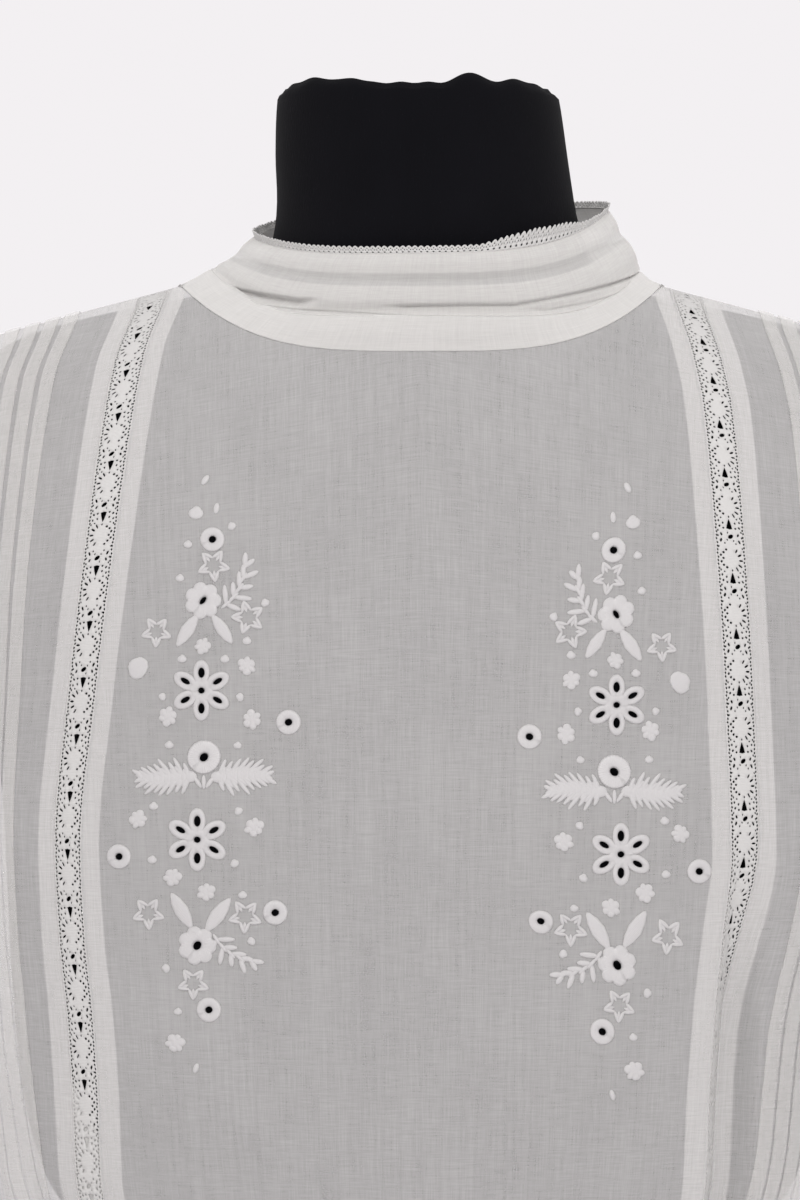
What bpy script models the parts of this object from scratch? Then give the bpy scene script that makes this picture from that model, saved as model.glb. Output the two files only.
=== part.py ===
"""A white lawn blouse with lace insertions and tucks, on a dress form that stands on a round base.

Metres, +Z up, front towards -Y, origin on the floor under the middle of the base.
Left and right are the viewer's, so left is -X.
"""

import math

import bmesh
import bpy
import numpy as np
from mathutils import Vector

# Cloth
WALL = 0.0012
SEAM_GAP = 0.0004
WAIST = 0.385
UNDERARM = 0.620

# Shoulders and neckline
NECK_HALF = 0.096
NECK_SIDE_HEIGHT = 0.7896
NECK_FRONT_HEIGHT = 0.761
NECK_BACK_HEIGHT = 0.7716
NECK_CURVE = 3.5
SHOULDER_SLOPE = math.tan(math.radians(15))

# Lace insertions, the turned-back bands beside them, and the tucks
LACE_WIDTH = 0.0138
BAND_WIDTH = 0.0085
TUCK_PITCH = 0.0082
TUCK_HEIGHT = 0.0008
TUCK_GROOVE = 0.0008
TUCKS = 4

# Centre back opening
LAP = 0.009
LAP_RISE = 0.0017
LAP_LINES = (2.2 * LAP, 1.25 * LAP, 0.0, -LAP)
BUTTONS = 8
BUTTON_RADIUS = 0.0050
BUTTON_THICKNESS = 0.0020
BUTTON_TOP = 0.745
BUTTON_STEP = 0.0465
RING_SLIT = math.radians(0.45)

# Collar edging and waistband
EDGING_HEIGHT = 0.0042
BAND_HEIGHT = 0.024

# Sleeves
SLEEVE_PIVOT = (0.1926, 0.608)
SLEEVE_FAN = 6
SLEEVE_ROWS = 6
SLEEVE_WIDTH = 0.078
SLEEVE_DROP = 1.45
SLEEVE_DEPTH = 0.056
CUFF_TOP = 0.250
CUFF_BOTTOM = 0.200
CUFF_HALF_WIDTH = 0.0270
CUFF_HALF_DEPTH = 0.0360
CUFF_CLEAR = 0.010
CUFF_FORWARD = 0.012

# Stand
BASE_RADIUS = 0.135
BASE_THICKNESS = 0.014
BASE_EDGE = 0.003
POLE_RADIUS = 0.0125
SEAT_GAP = 0.0003

CAP_ROWS = 9
LOWER_ROWS = 9
CAP_TO_RISE = 0.17

# height, half width, depth of the front, depth of the back
BODY_SECTIONS = (
    (0.385, 0.134, 0.0940, 0.0880),
    (0.410, 0.166, 0.1110, 0.1015),
    (0.440, 0.1745, 0.1170, 0.1070),
    (0.500, 0.182, 0.1185, 0.1105),
    (0.570, 0.188, 0.1180, 0.1130),
    (0.620, 0.192, 0.1130, 0.1135),
    (0.700, 0.200, 0.1120, 0.1130),
    (0.830, 0.206, 0.1120, 0.1130),
)

# height, middle of the left lace from the centre, middle of the right lace from the centre
LACE_LINES = (
    (0.385, 0.1040, 0.0905),
    (0.410, 0.1205, 0.1030),
    (0.440, 0.1297, 0.1105),
    (0.475, 0.1310, 0.1120),
    (0.507, 0.1332, 0.1146),
    (0.531, 0.1358, 0.1186),
    (0.569, 0.1376, 0.1247),
    (0.626, 0.1319, 0.1226),
    (0.695, 0.1235, 0.1185),
    (0.742, 0.1172, 0.1149),
    (0.762, 0.1138, 0.1113),
    (0.790, 0.1060, 0.1050),
)

# height, width of the plain strip between the band and the first tuck, left and right
PLAIN_STRIPS = (
    (0.385, 0.0060, 0.0050),
    (0.424, 0.0080, 0.0070),
    (0.455, 0.0095, 0.0110),
    (0.500, 0.0120, 0.0130),
    (0.570, 0.0115, 0.0110),
    (0.625, 0.0130, 0.0130),
    (0.690, 0.0150, 0.0155),
    (0.790, 0.0145, 0.0140),
)

# height, distance of the armhole's edge from the centre
ARMHOLE = (
    (0.6200, 0.1919),
    (0.6243, 0.1875),
    (0.6410, 0.1815),
    (0.6900, 0.1780),
    (0.7420, 0.1840),
    (0.7700, 0.1905),
)

# angle from the middle in degrees, depth, half width in degrees, height where it fades, on the back
SOFT_FOLDS = (
    (-8.0, 0.0050, 3.2, 0.500, False),
    (7.0, 0.0040, 3.0, 0.470, False),
    (21.0, 0.0045, 3.2, 0.480, False),
    (-24.0, 0.0045, 3.4, 0.480, False),
    (-62.0, 0.0050, 4.5, 0.490, False),
    (64.0, 0.0050, 4.5, 0.500, False),
    (-20.0, 0.0050, 5.0, 0.480, True),
    (24.0, 0.0045, 5.0, 0.470, True),
    (-50.0, 0.0050, 5.5, 0.490, True),
    (52.0, 0.0050, 5.5, 0.480, True),
)
FOLD_FULL = 0.410

# The deep fold just outside the right lace
DEEP_FOLD = 0.0125
DEEP_FOLD_TOP = 0.580
DEEP_FOLD_FULL = 0.490
DEEP_FOLD_WALL = 0.0045
DEEP_FOLD_FLOOR = 0.0090
DEEP_FOLD_RETURN = 0.0120

# half width, front, back, height at the front, at the sides, at the back, then for the right side:
# its lift and its shift outwards; last, how flat the ring stays before it climbs to the sides
BAND_SECTIONS = (
    (0.0908, 0.0785, 0.0710, 0.7674, 0.7925, 0.7790, -0.0003, 0.0005, 3.9),
    (0.0866, 0.0772, 0.0690, 0.7738, 0.7955, 0.7870, -0.0005, 0.0018, 5.2),
)
COLLAR_SECTIONS = (
    (0.0860, 0.0766, 0.0684, 0.7743, 0.7960, 0.7876, -0.0004, 0.0018, 5.2),
    (0.0848, 0.0738, 0.0672, 0.7766, 0.7978, 0.7900, 0.0008, 0.0022, 5.0),
    (0.0832, 0.0757, 0.0676, 0.7806, 0.8014, 0.7965, 0.0024, 0.0024, 4.7),
    (0.0798, 0.0746, 0.0670, 0.7850, 0.8052, 0.8035, 0.0042, 0.0026, 4.4),
    (0.0768, 0.0712, 0.0664, 0.7885, 0.8078, 0.8100, 0.0045, 0.0030, 4.5),
    (0.0748, 0.0714, 0.0660, 0.7940, 0.8112, 0.8175, 0.0050, 0.0036, 4.6),
    (0.0706, 0.0672, 0.0656, 0.7990, 0.8155, 0.8235, 0.0060, 0.0042, 5.0),
)
EDGING_LEAN = 0.0008

# height, half width, front, back, shift towards the right
FORM_SECTIONS = (
    (0.186, 0.118, 0.078, 0.080, 0.0),
    (0.190, 0.140, 0.096, 0.098, 0.0),
    (0.200, 0.154, 0.105, 0.108, 0.0),
    (0.250, 0.160, 0.108, 0.113, 0.0),
    (0.310, 0.140, 0.094, 0.099, 0.0),
    (0.360, 0.1190, 0.0860, 0.0810, 0.0),
    (0.395, 0.1180, 0.0850, 0.0790, 0.0),
    (0.412, 0.1330, 0.0870, 0.0810, 0.0),
    (0.435, 0.1500, 0.0900, 0.0840, 0.0),
    (0.475, 0.1600, 0.0960, 0.0900, 0.0),
    (0.525, 0.1640, 0.1010, 0.0970, 0.0),
    (0.570, 0.1660, 0.1030, 0.1000, 0.0),
    (0.620, 0.170, 0.100, 0.102, 0.0),
    (0.680, 0.1725, 0.090, 0.100, 0.0),
    (0.720, 0.1710, 0.080, 0.088, 0.0),
    (0.745, 0.1720, 0.070, 0.076, 0.0),
    (0.760, 0.1720, 0.066, 0.067, 0.0),
    (0.770, 0.1570, 0.063, 0.060, 0.0005),
    (0.777, 0.1330, 0.0615, 0.0580, 0.0010),
    (0.783, 0.1025, 0.0600, 0.0560, 0.0012),
    (0.788, 0.0790, 0.0590, 0.0560, 0.0018),
    (0.796, 0.0675, 0.0605, 0.0565, 0.0024),
    (0.807, 0.0622, 0.0610, 0.0570, 0.0026),
    (0.823, 0.0594, 0.0590, 0.0560, 0.0018),
    (0.842, 0.0583, 0.0570, 0.0550, 0.0001),
    (0.868, 0.0556, 0.0540, 0.0540, -0.0013),
    (0.871, 0.0530, 0.0515, 0.0515, -0.0014),
)
FORM_ROUNDNESS = 2.25
FORM_UNDER_CLOTH = 0.0028
NECK_TURNS = (11.0, 22.0, 33.0, 44.0, 55.0, 66.0, 78.0, 90.0)


def smooth(share):
    """0 below 0, 1 above 1, and an even curve between."""
    share = min(max(share, 0.0), 1.0)
    return share * share * (3.0 - 2.0 * share)


def at_height(table, height):
    """The row's other columns at this height, on one smooth curve through the table."""
    heights = [row[0] for row in table]
    height = min(max(height, heights[0]), heights[-1])
    low = min(max(int(np.searchsorted(heights, height)) - 1, 0), len(table) - 2)
    span = heights[low + 1] - heights[low]
    share = (height - heights[low]) / span
    found = []
    for column in range(1, len(table[0])):
        value = [row[column] for row in table]

        def slope(index):
            if index in (0, len(table) - 1):
                return 0.0
            before = (value[index] - value[index - 1]) / (heights[index] - heights[index - 1])
            after = (value[index + 1] - value[index]) / (heights[index + 1] - heights[index])
            if before * after <= 0.0:
                return 0.0
            return 2.0 * before * after / (before + after)

        t2, t3 = share**2, share**3
        found.append(
            (2 * t3 - 3 * t2 + 1) * value[low]
            + (t3 - 2 * t2 + share) * span * slope(low)
            + (3 * t2 - 2 * t3) * value[low + 1]
            + (t3 - t2) * span * slope(low + 1)
        )
    return found


def shoulder_height(across):
    return NECK_SIDE_HEIGHT - (abs(across) - NECK_HALF) * SHOULDER_SLOPE


def neckline_height(across, back):
    low = NECK_BACK_HEIGHT if back else NECK_FRONT_HEIGHT
    share = min(abs(across) / NECK_HALF, 1.0)
    return low + (NECK_SIDE_HEIGHT - low) * share**NECK_CURVE


def height_of(across, rise):
    """Rise is an angle over the shoulder from the underarm level, and runs on below it in even steps."""
    if rise < 0.0:
        return UNDERARM + rise * CAP_TO_RISE
    return UNDERARM + (shoulder_height(across) - UNDERARM) * math.sin(rise)


def rise_of(height):
    return (height - UNDERARM) / CAP_TO_RISE


def soft_fold_depth(angle, height, back):
    """How far the soft folds press the cloth in here."""
    degrees = math.degrees(angle)
    depth = 0.0
    for middle, deep, wide, top, on_back in SOFT_FOLDS:
        if on_back == back:
            fade = smooth((top - height) / (top - FOLD_FULL)) * smooth((height - WAIST) / 0.02)
            depth += deep * fade * math.exp(-(((degrees - middle) / wide) ** 2))
    return depth


def deep_fold_depth(across, height):
    """How far the deep fold by the right lace sinks straight back here."""
    past = across - (at_height(LACE_LINES, height)[1] - deep_fold_lace(height) / 2)
    wall = smooth(past / DEEP_FOLD_WALL)
    returned = 1.0 - smooth((past - DEEP_FOLD_FLOOR) / DEEP_FOLD_RETURN)
    return DEEP_FOLD * deep_fold_share(height) * wall * returned


def deep_fold_share(height):
    opened = smooth((DEEP_FOLD_TOP - height) / (DEEP_FOLD_TOP - DEEP_FOLD_FULL))
    return opened * smooth((height - WAIST) / 0.02)


def deep_fold_lace(height):
    """How wide the right lace looks from the front, where the fold turns it edge on."""
    return LACE_WIDTH * (0.88 - 0.62 * deep_fold_share(height))


def body_point(angle, rise, back):
    """A point of the blouse's outer surface: angle goes round from the middle of the front or back."""
    across = 0.2 * math.sin(angle)
    for _ in range(4):
        height = height_of(across, rise)
        half_width, front, rear = at_height(BODY_SECTIONS, height)
        across = half_width * math.sin(angle)
    depth = (rear if back else front) * math.cos(angle) * math.cos(max(rise, 0.0))
    depth += SEAM_GAP / 2
    return Vector((across, depth if back else -depth, height))


def body_surface(angle, rise, back, raised=0.0):
    """The outer point, folded and raised off the surface, and the outward normal there."""
    step = 0.004
    along = body_point(angle + step, rise, back) - body_point(angle - step, rise, back)
    up = body_point(angle, rise + step, back) - body_point(angle, rise - step, back)
    normal = along.cross(up).normalized()
    if back:
        normal.negate()
    point = body_point(angle, rise, back)
    sunk = 0.0 if back or point.x < 0.0 else deep_fold_depth(point.x, point.z)
    point -= normal * soft_fold_depth(angle, point.z, back)
    point.y += sunk
    return point + normal * raised, normal


def angle_at(across, rise):
    """The angle whose point lies this far from the centre plane."""
    angle = math.asin(max(-1.0, min(1.0, across / 0.2)))
    for _ in range(5):
        half_width = at_height(BODY_SECTIONS, height_of(across, rise))[0]
        angle = math.asin(max(-1.0, min(1.0, across / half_width)))
    return angle


def top_rise(across, back):
    """The rise of a panel's top edge: the neckline near the middle, the shoulder seam past it."""
    if abs(across) >= NECK_HALF:
        return math.pi / 2
    share = (neckline_height(across, back) - UNDERARM) / (shoulder_height(across) - UNDERARM)
    return math.asin(min(share, 1.0))


def rises(top):
    """The rows of a column, from its top edge to the waist."""
    cap = [top * (1 - row / CAP_ROWS) for row in range(CAP_ROWS)]
    low = rise_of(WAIST + SEAM_GAP)
    return cap + [low * row / LOWER_ROWS for row in range(LOWER_ROWS + 1)]


def edge_angle(rise):
    """The armhole's edge above the underarm, and the side seam below it."""
    if rise <= 0.0:
        return math.pi / 2
    across = 0.185
    for _ in range(6):
        across = at_height(ARMHOLE, height_of(across, rise))[0]
    return angle_at(across, rise)


def lace_reach(rise, right):
    """How far from the centre plane the lace's inner edge lies."""
    across = 0.12
    for _ in range(5):
        height = height_of(across, rise)
        seen = deep_fold_lace(height) if right else LACE_WIDTH * 0.90
        across = at_height(LACE_LINES, height)[1 if right else 0] - seen / 2
    return across


def lace_edge(rise, right):
    """Angle of the lace's edge nearer the centre front."""
    across = lace_reach(rise, right)
    return angle_at(across if right else -across, rise)


def angles_along(rise, right, distances):
    """Angles at these distances over the cloth from the lace's inner edge towards the side."""
    start = lace_edge(rise, right)
    end = edge_angle(rise) if right else -edge_angle(rise)
    angles = np.linspace(start, end, 70)
    points = [body_surface(angle, rise, False)[0] for angle in angles]
    steps = [(b - a).length for a, b in zip(points, points[1:])]
    travelled = np.concatenate([[0.0], np.cumsum(steps)])
    inside = np.minimum(distances, travelled[-1])
    return list(np.interp(inside, travelled, angles)), end


def new_material(name, colour, roughness, metallic=0.0):
    material = bpy.data.materials.new(name)
    material.use_nodes = True
    shader = material.node_tree.nodes["Principled BSDF"]
    shader.inputs["Base Color"].default_value = (*colour, 1.0)
    shader.inputs["Roughness"].default_value = roughness
    shader.inputs["Metallic"].default_value = metallic
    return material


def add_object(name, mesh, material):
    made = bpy.data.objects.new(name, mesh)
    made.data.materials.append(material)
    parts.objects.link(made)
    return made


def add_wall(name, outer, inner, material, joined=False):
    """A closed wall between two grids of points; joined bends the rows into whole rings."""
    shape = bmesh.new()
    sheets = [[[shape.verts.new(point) for point in row] for row in grid] for grid in (outer, inner)]
    rows, columns = len(outer), len(outer[0])
    across = range(columns if joined else columns - 1)

    def quad(*corners):
        shape.faces.new(corners)

    for row in range(rows - 1):
        for column in across:
            after = (column + 1) % columns
            for sheet in sheets:
                quad(sheet[row][column], sheet[row][after], sheet[row + 1][after], sheet[row + 1][column])
    for column in across:
        after = (column + 1) % columns
        for row in (0, rows - 1):
            quad(sheets[0][row][column], sheets[0][row][after], sheets[1][row][after], sheets[1][row][column])
    if not joined:
        for row in range(rows - 1):
            for column in (0, columns - 1):
                quad(
                    sheets[0][row][column],
                    sheets[0][row + 1][column],
                    sheets[1][row + 1][column],
                    sheets[1][row][column],
                )
    bmesh.ops.recalc_face_normals(shape, faces=shape.faces)
    mesh = bpy.data.meshes.new(name)
    shape.to_mesh(mesh)
    shape.free()
    mesh.shade_smooth()
    return add_object(name, mesh, material)


def add_panel(name, columns, back, material):
    """A body panel: each column gives its angle and its raised height at every rise of its rows."""
    outer, inner = [], []
    for row in range(CAP_ROWS + LOWER_ROWS + 1):
        outer.append([])
        inner.append([])
        for column in columns:
            angle, rise, raised = column(row)
            point, normal = body_surface(angle, rise, back)
            base = LAP_RISE if raised == LAP_RISE else 0.0
            outer[-1].append(point + normal * raised)
            inner[-1].append(point + normal * (base - WALL))
    return add_wall(name, outer, inner, material)


def front_columns():
    """Columns of the front centre, spread between the two lace insertions."""
    half = [NECK_HALF * math.sin(math.radians(turn)) for turn in NECK_TURNS] + [None]
    lines = [(-1, across) for across in reversed(half)] + [(1, 0.0)] + [(1, across) for across in half]
    made = []
    for side, across in lines:
        right = side > 0
        top = math.pi / 2 if across is None else top_rise(across, False)
        gap = SEAM_GAP / 2 / 0.2
        inner_edge = abs(lace_edge(top, right)) - gap
        if across is None:
            share = 1.0
        else:
            share = math.sin(angle_at(across, top)) / math.sin(inner_edge)
        rows = rises(top)

        def column(row, side=side, right=right, share=share, rows=rows, gap=gap):
            edge = abs(lace_edge(rows[row], right)) - gap
            return side * math.asin(share * math.sin(edge)), rows[row], 0.0

        made.append(column)
    return made


def strip_columns(distances, right):
    """Columns over the cloth from the lace's inner edge.

    Each is a distance, a raised height, and whether it lies past the plain strip, whose width varies.
    """
    rows = rises(math.pi / 2)
    cloth = []
    for rise in rows:
        plain = plain_width(rise, right)
        cloth.append(angles_along(rise, right, [start + plain * past for start, _, past in distances])[0])
    return [
        lambda row, index=index, raised=raised: (cloth[row][index], rows[row], raised)
        for index, (_, raised, _) in enumerate(distances)
    ]


def plain_width(rise, right):
    height = height_of(lace_reach(rise, right), rise)
    return at_height(PLAIN_STRIPS, height)[1 if right else 0]


def side_columns(right):
    """The side front: a turned-back band, a plain strip, the tucks, and the plain cloth to the side."""
    start = LACE_WIDTH + SEAM_GAP / 2
    band = LACE_WIDTH + BAND_WIDTH
    distances = [(start, 0.0, False), (band, 0.0, False)]
    for tuck in range(TUCKS):
        begin = band + tuck * TUCK_PITCH
        distances.append((begin, 0.0, True))
        distances.append((begin + TUCK_GROOVE, TUCK_HEIGHT, True))
        distances.append((begin + TUCK_PITCH - TUCK_GROOVE, TUCK_HEIGHT, True))
    last = band + TUCKS * TUCK_PITCH
    distances.append((last, 0.0, True))
    columns = strip_columns(distances, right)
    rows = rises(math.pi / 2)
    for share in (0.34, 0.67, 1.0):

        def column(row, share=share):
            reach = last + plain_width(rows[row], right)
            (near,), end = angles_along(rows[row], right, [reach])
            return near + (end - near) * share, rows[row], 0.0

        columns.append(column)
    return columns


def back_columns(right):
    """From the side to the centre back, where the left half laps over the right."""
    side = 1 if right else -1
    neck = [NECK_HALF * math.sin(math.radians(turn)) for turn in reversed(NECK_TURNS[1:])]
    made = []
    for share in (1.0, 0.82, 0.64):

        def column(row, share=share, rows=rises(math.pi / 2)):
            return side * share * edge_angle(rows[row]), rows[row], 0.0

        made.append(column)
    for across in neck:
        top = top_rise(across, True)
        share = angle_at(across, top) / edge_angle(top)

        def column(row, share=share, rows=rises(top)):
            return side * share * edge_angle(rows[row]), rows[row], 0.0

        made.append(column)
    raised = 0.0 if right else LAP_RISE
    for across, lift in zip(LAP_LINES, (0.0, raised, raised, raised)):

        def column(row, across=across, lift=lift, rows=rises(top_rise(across, True))):
            return angle_at(side * across, rows[row]), rows[row], lift

        made.append(column)
    return made


def seam_ring(turn):
    """The neckline seam at this turn round the neck, from 0 at the front to half a turn at the back."""
    back = abs(turn) > math.pi / 2
    across = NECK_HALF * math.sin(turn)
    rise = top_rise(across, back)
    return body_surface(angle_at(across, rise), rise, back)[0]


def section_ring(section, turn):
    half_width, front, back, at_front, at_side, at_back, lift, shift, curve = section
    ahead = abs(turn) <= math.pi / 2
    middle = at_front if ahead else at_back
    side = math.sin(turn)
    height = middle + (at_side - middle) * abs(side) ** curve + lift * side**3
    depth = -(front if ahead else back) * math.cos(turn)
    return Vector((half_width * side + shift, depth, height))


def neck_turns():
    """Turns round the neck that fall on the panels' own columns, open at the centre back."""
    front = [math.radians(turn) for turn in NECK_TURNS]
    back = [math.pi - math.radians(turn) for turn in NECK_TURNS[1:-1]]
    back += [math.pi - math.asin(across / NECK_HALF) for across in LAP_LINES[:2]]
    half = sorted(front + back) + [math.pi - RING_SLIT]
    return [-turn for turn in reversed(half)] + [0.0] + half


def ring_wall(name, rings, material, wall=WALL):
    """A wall through open rings, thickened inwards along its normals."""
    grid = [[Vector(point) for point in ring] for ring in rings]
    inner = []
    for row, ring in enumerate(grid):
        inner.append([])
        for column, point in enumerate(ring):
            before, after = ring[max(column - 1, 0)], ring[min(column + 1, len(ring) - 1)]
            below, above = grid[max(row - 1, 0)][column], grid[min(row + 1, len(grid) - 1)][column]
            normal = (after - before).cross(above - below).normalized()
            inner[-1].append(point - normal * wall)
    return add_wall(name, grid, inner, material)


def add_neck():
    """Neckband, collar and the lace edging on the collar's rim."""
    spread = neck_turns()
    seam = [seam_ring(turn) for turn in spread]
    first = [section_ring(BAND_SECTIONS[0], turn) for turn in spread]
    lowest = [a + (b - a).normalized() * SEAM_GAP for a, b in zip(seam, first)]
    top = [section_ring(BAND_SECTIONS[1], turn) for turn in spread]
    ring_wall("neckband", [lowest, first, top], doubled)
    collar = [[section_ring(section, turn) for turn in spread] for section in COLLAR_SECTIONS]
    ring_wall("collar", collar, doubled)
    rim, below = collar[-1], collar[-2]
    foot = [a + (a - b).normalized() * SEAM_GAP for a, b in zip(rim, below)]
    tip = [
        point + Vector((EDGING_LEAN * math.sin(turn), -EDGING_LEAN * math.cos(turn), EDGING_HEIGHT))
        for point, turn in zip(foot, spread)
    ]
    ring_wall("collar_edging", [foot, tip], lace)


def add_waistband():
    spread = list(np.linspace(-math.pi + RING_SLIT, math.pi - RING_SLIT, 49))
    half_width, front, back = at_height(BODY_SECTIONS, WAIST)

    def point(turn, height):
        depth = front if abs(turn) <= math.pi / 2 else back
        return Vector((half_width * math.sin(turn), -depth * math.cos(turn), height))

    levels = (WAIST - BAND_HEIGHT, WAIST - BAND_HEIGHT / 2, WAIST - SEAM_GAP)
    ring_wall("waistband", [[point(turn, level) for turn in spread] for level in levels], doubled)


def armhole_ring():
    """The armhole's edge, from the shoulder down the front and up the back, as height and place."""
    front = [math.pi / 2 * (1 - row / CAP_ROWS) for row in range(CAP_ROWS + 1)]
    points = [body_surface(edge_angle(rise), rise, False)[0] for rise in front]
    points += [body_surface(edge_angle(rise), rise, True)[0] for rise in reversed(front[:-1])][:-1]
    points[0].y = 0.0
    points[CAP_ROWS].y = 0.0
    return points


def sleeve_rings():
    """Rings that fan from the upright armhole to a level ring beside the body, then hang to the cuff."""
    pivot_x, pivot_z = SLEEVE_PIVOT
    start = armhole_ring()
    count = len(start)
    low = min(point.z for point in start)
    tall = max(point.z for point in start) - low
    rings = []
    for step in range(SLEEVE_FAN + 1):
        share = step / SLEEVE_FAN
        swing = share * math.pi / 2
        even = smooth(share * 1.4)
        ring = []
        for index, point in enumerate(start):
            turn = 2 * math.pi * index / count
            reach = (point.z - low) / tall
            level = 0.5 + 0.5 * math.cos(turn)
            span = tall + (SLEEVE_WIDTH - tall) * smooth(share * SLEEVE_DROP)
            radius = low - pivot_z + (reach + (level - reach) * even) * span
            depth = point.y + (-SLEEVE_DEPTH * math.sin(turn) - point.y) * even
            lean = (point.x + SEAM_GAP - pivot_x) * (1 - even)
            along = pivot_x + radius * math.sin(swing) + lean * math.cos(swing)
            ring.append(Vector((along, depth, pivot_z + radius * math.cos(swing) - lean * math.sin(swing))))
        rings.append(ring)
    level_x = [point.x for point in rings[-1]]
    middle = (max(level_x) + min(level_x)) / 2
    cuff_middle = min(level_x) + CUFF_HALF_WIDTH + CUFF_CLEAR
    for step in range(1, SLEEVE_ROWS + 1):
        share = step / SLEEVE_ROWS
        height = pivot_z + (CUFF_TOP + SEAM_GAP - pivot_z) * share
        taper = share**1.7
        half_width = SLEEVE_WIDTH / 2 + (CUFF_HALF_WIDTH - SLEEVE_WIDTH / 2) * taper
        half_depth = SLEEVE_DEPTH + (CUFF_HALF_DEPTH - SLEEVE_DEPTH) * taper
        centre = middle + (cuff_middle - middle) * share
        forward = -CUFF_FORWARD * share**2
        ring = []
        for index in range(count):
            turn = 2 * math.pi * index / count
            along = centre + half_width * math.cos(turn)
            ring.append(Vector((along, forward - half_depth * math.sin(turn), height)))
        rings.append(ring)
    return rings


def tube_wall(name, rings, material, upright_first=False):
    """A wall through whole rings; the first ring can keep its thickness in the armhole's plane."""
    count = len(rings[0])
    middles = [sum(ring, Vector()) / count for ring in rings]
    inner = []
    for row, ring in enumerate(rings):
        inner.append([])
        for column, point in enumerate(ring):
            round_way = ring[(column + 1) % count] - ring[column - 1]
            down = rings[min(row + 1, len(rings) - 1)][column] - rings[max(row - 1, 0)][column]
            if row == 0 and upright_first:
                down = Vector((1.0, 0.0, 0.0))
            normal = round_way.cross(down).normalized()
            if normal.dot(point - middles[row]) < 0:
                normal.negate()
            inner[-1].append(point - normal * WALL)
    return add_wall(name, rings, inner, material, joined=True)


def mirrored(rings, right):
    side = 1 if right else -1
    return [[Vector((point.x * side, point.y, point.z)) for point in ring] for ring in rings]


def add_sleeve(right):
    word = "right" if right else "left"
    rings = sleeve_rings()
    tube_wall("sleeve_" + word, mirrored(rings, right), cloth, upright_first=True)
    last = rings[-1]
    cuff = []
    for level in (CUFF_TOP, (CUFF_TOP + CUFF_BOTTOM) / 2, CUFF_BOTTOM):
        cuff.append([Vector((point.x, point.y, level)) for point in last])
    tube_wall("cuff_" + word, mirrored(cuff, right), doubled)


def add_buttons():
    for number in range(BUTTONS):
        height = BUTTON_TOP - number * BUTTON_STEP
        if height > UNDERARM:
            rise = math.asin((height - UNDERARM) / (shoulder_height(0.0) - UNDERARM))
        else:
            rise = rise_of(height)
        point, normal = body_surface(0.0, rise, True, LAP_RISE)
        shape = bmesh.new()
        bmesh.ops.create_cone(
            shape,
            cap_ends=True,
            segments=14,
            radius1=BUTTON_RADIUS,
            radius2=BUTTON_RADIUS * 0.86,
            depth=BUTTON_THICKNESS,
        )
        mesh = bpy.data.meshes.new("button")
        shape.to_mesh(mesh)
        shape.free()
        button = add_object(f"button_{number + 1}", mesh, shell_button)
        button.rotation_mode = "QUATERNION"
        button.rotation_quaternion = normal.to_track_quat("Z", "Y")
        button.location = point + normal * (SEAT_GAP * 1.5 + BUTTON_THICKNESS / 2)


def room_under_cloth(across, height, back):
    """The depth that the cloth leaves for the form over the shoulders."""
    ridge = shoulder_height(across) - FORM_UNDER_CLOTH - UNDERARM
    half_width, front, rear = at_height(BODY_SECTIONS, height)
    share = min(max((height - UNDERARM) / ridge, 0.0), 1.0)
    level = (rear if back else front) - 1.5 * FORM_UNDER_CLOTH
    return level * math.sqrt(1 - share**2) * math.sqrt(1 - min(abs(across) / half_width, 1.0) ** 2)


def add_form():
    """The limbless torso with its neck, smooth and whole."""
    around = 32
    shape = bmesh.new()
    rings = []
    for height, half_width, front, back, shift in FORM_SECTIONS:
        ring = []
        for index in range(around):
            turn = 2 * math.pi * index / around
            side, ahead = math.sin(turn), math.cos(turn)
            power = 2.0 / FORM_ROUNDNESS
            across = half_width * math.copysign(abs(side) ** power, side) + shift
            depth = (front if ahead >= 0 else back) * abs(ahead) ** power
            if UNDERARM < height < NECK_SIDE_HEIGHT - FORM_UNDER_CLOTH:
                depth = min(depth, room_under_cloth(across, height, ahead < 0))
            ring.append(shape.verts.new((across, -math.copysign(depth, ahead), height)))
        rings.append(ring)
    for lower, upper in zip(rings, rings[1:]):
        for index in range(around):
            after = (index + 1) % around
            shape.faces.new((lower[index], lower[after], upper[after], upper[index]))
    shape.faces.new(rings[0][::-1])
    shape.faces.new(rings[-1])
    bmesh.ops.recalc_face_normals(shape, faces=shape.faces)
    mesh = bpy.data.meshes.new("form_torso")
    shape.to_mesh(mesh)
    shape.free()
    mesh.shade_smooth()
    add_object("form_torso", mesh, jersey)


def add_turned(name, radius, bottom, top, edge, segments, material):
    """A disc or a pole with bevelled edges."""
    shape = bmesh.new()
    bmesh.ops.create_cone(
        shape, cap_ends=True, segments=segments, radius1=radius, radius2=radius, depth=top - bottom
    )
    mesh = bpy.data.meshes.new(name)
    shape.to_mesh(mesh)
    shape.free()
    turned = add_object(name, mesh, material)
    turned.location = (0.0, 0.0, (top + bottom) / 2)
    if edge:
        bevel = turned.modifiers.new("edge", "BEVEL")
        bevel.width = edge
        bevel.segments = 1
    return turned


for leftover in list(bpy.data.objects):
    bpy.data.objects.remove(leftover)
parts = bpy.data.collections.new("blouse_on_dress_form")
bpy.context.scene.collection.children.link(parts)

cloth = new_material("lawn", (0.80, 0.79, 0.78), 0.85)
doubled = new_material("doubled lawn", (0.86, 0.85, 0.83), 0.85)
lace = new_material("cotton lace", (0.84, 0.83, 0.80), 0.90)
shell_button = new_material("button", (0.88, 0.87, 0.84), 0.35)
jersey = new_material("jersey", (0.010, 0.010, 0.012), 0.90)
steel = new_material("painted steel", (0.030, 0.030, 0.032), 0.45)

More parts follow.
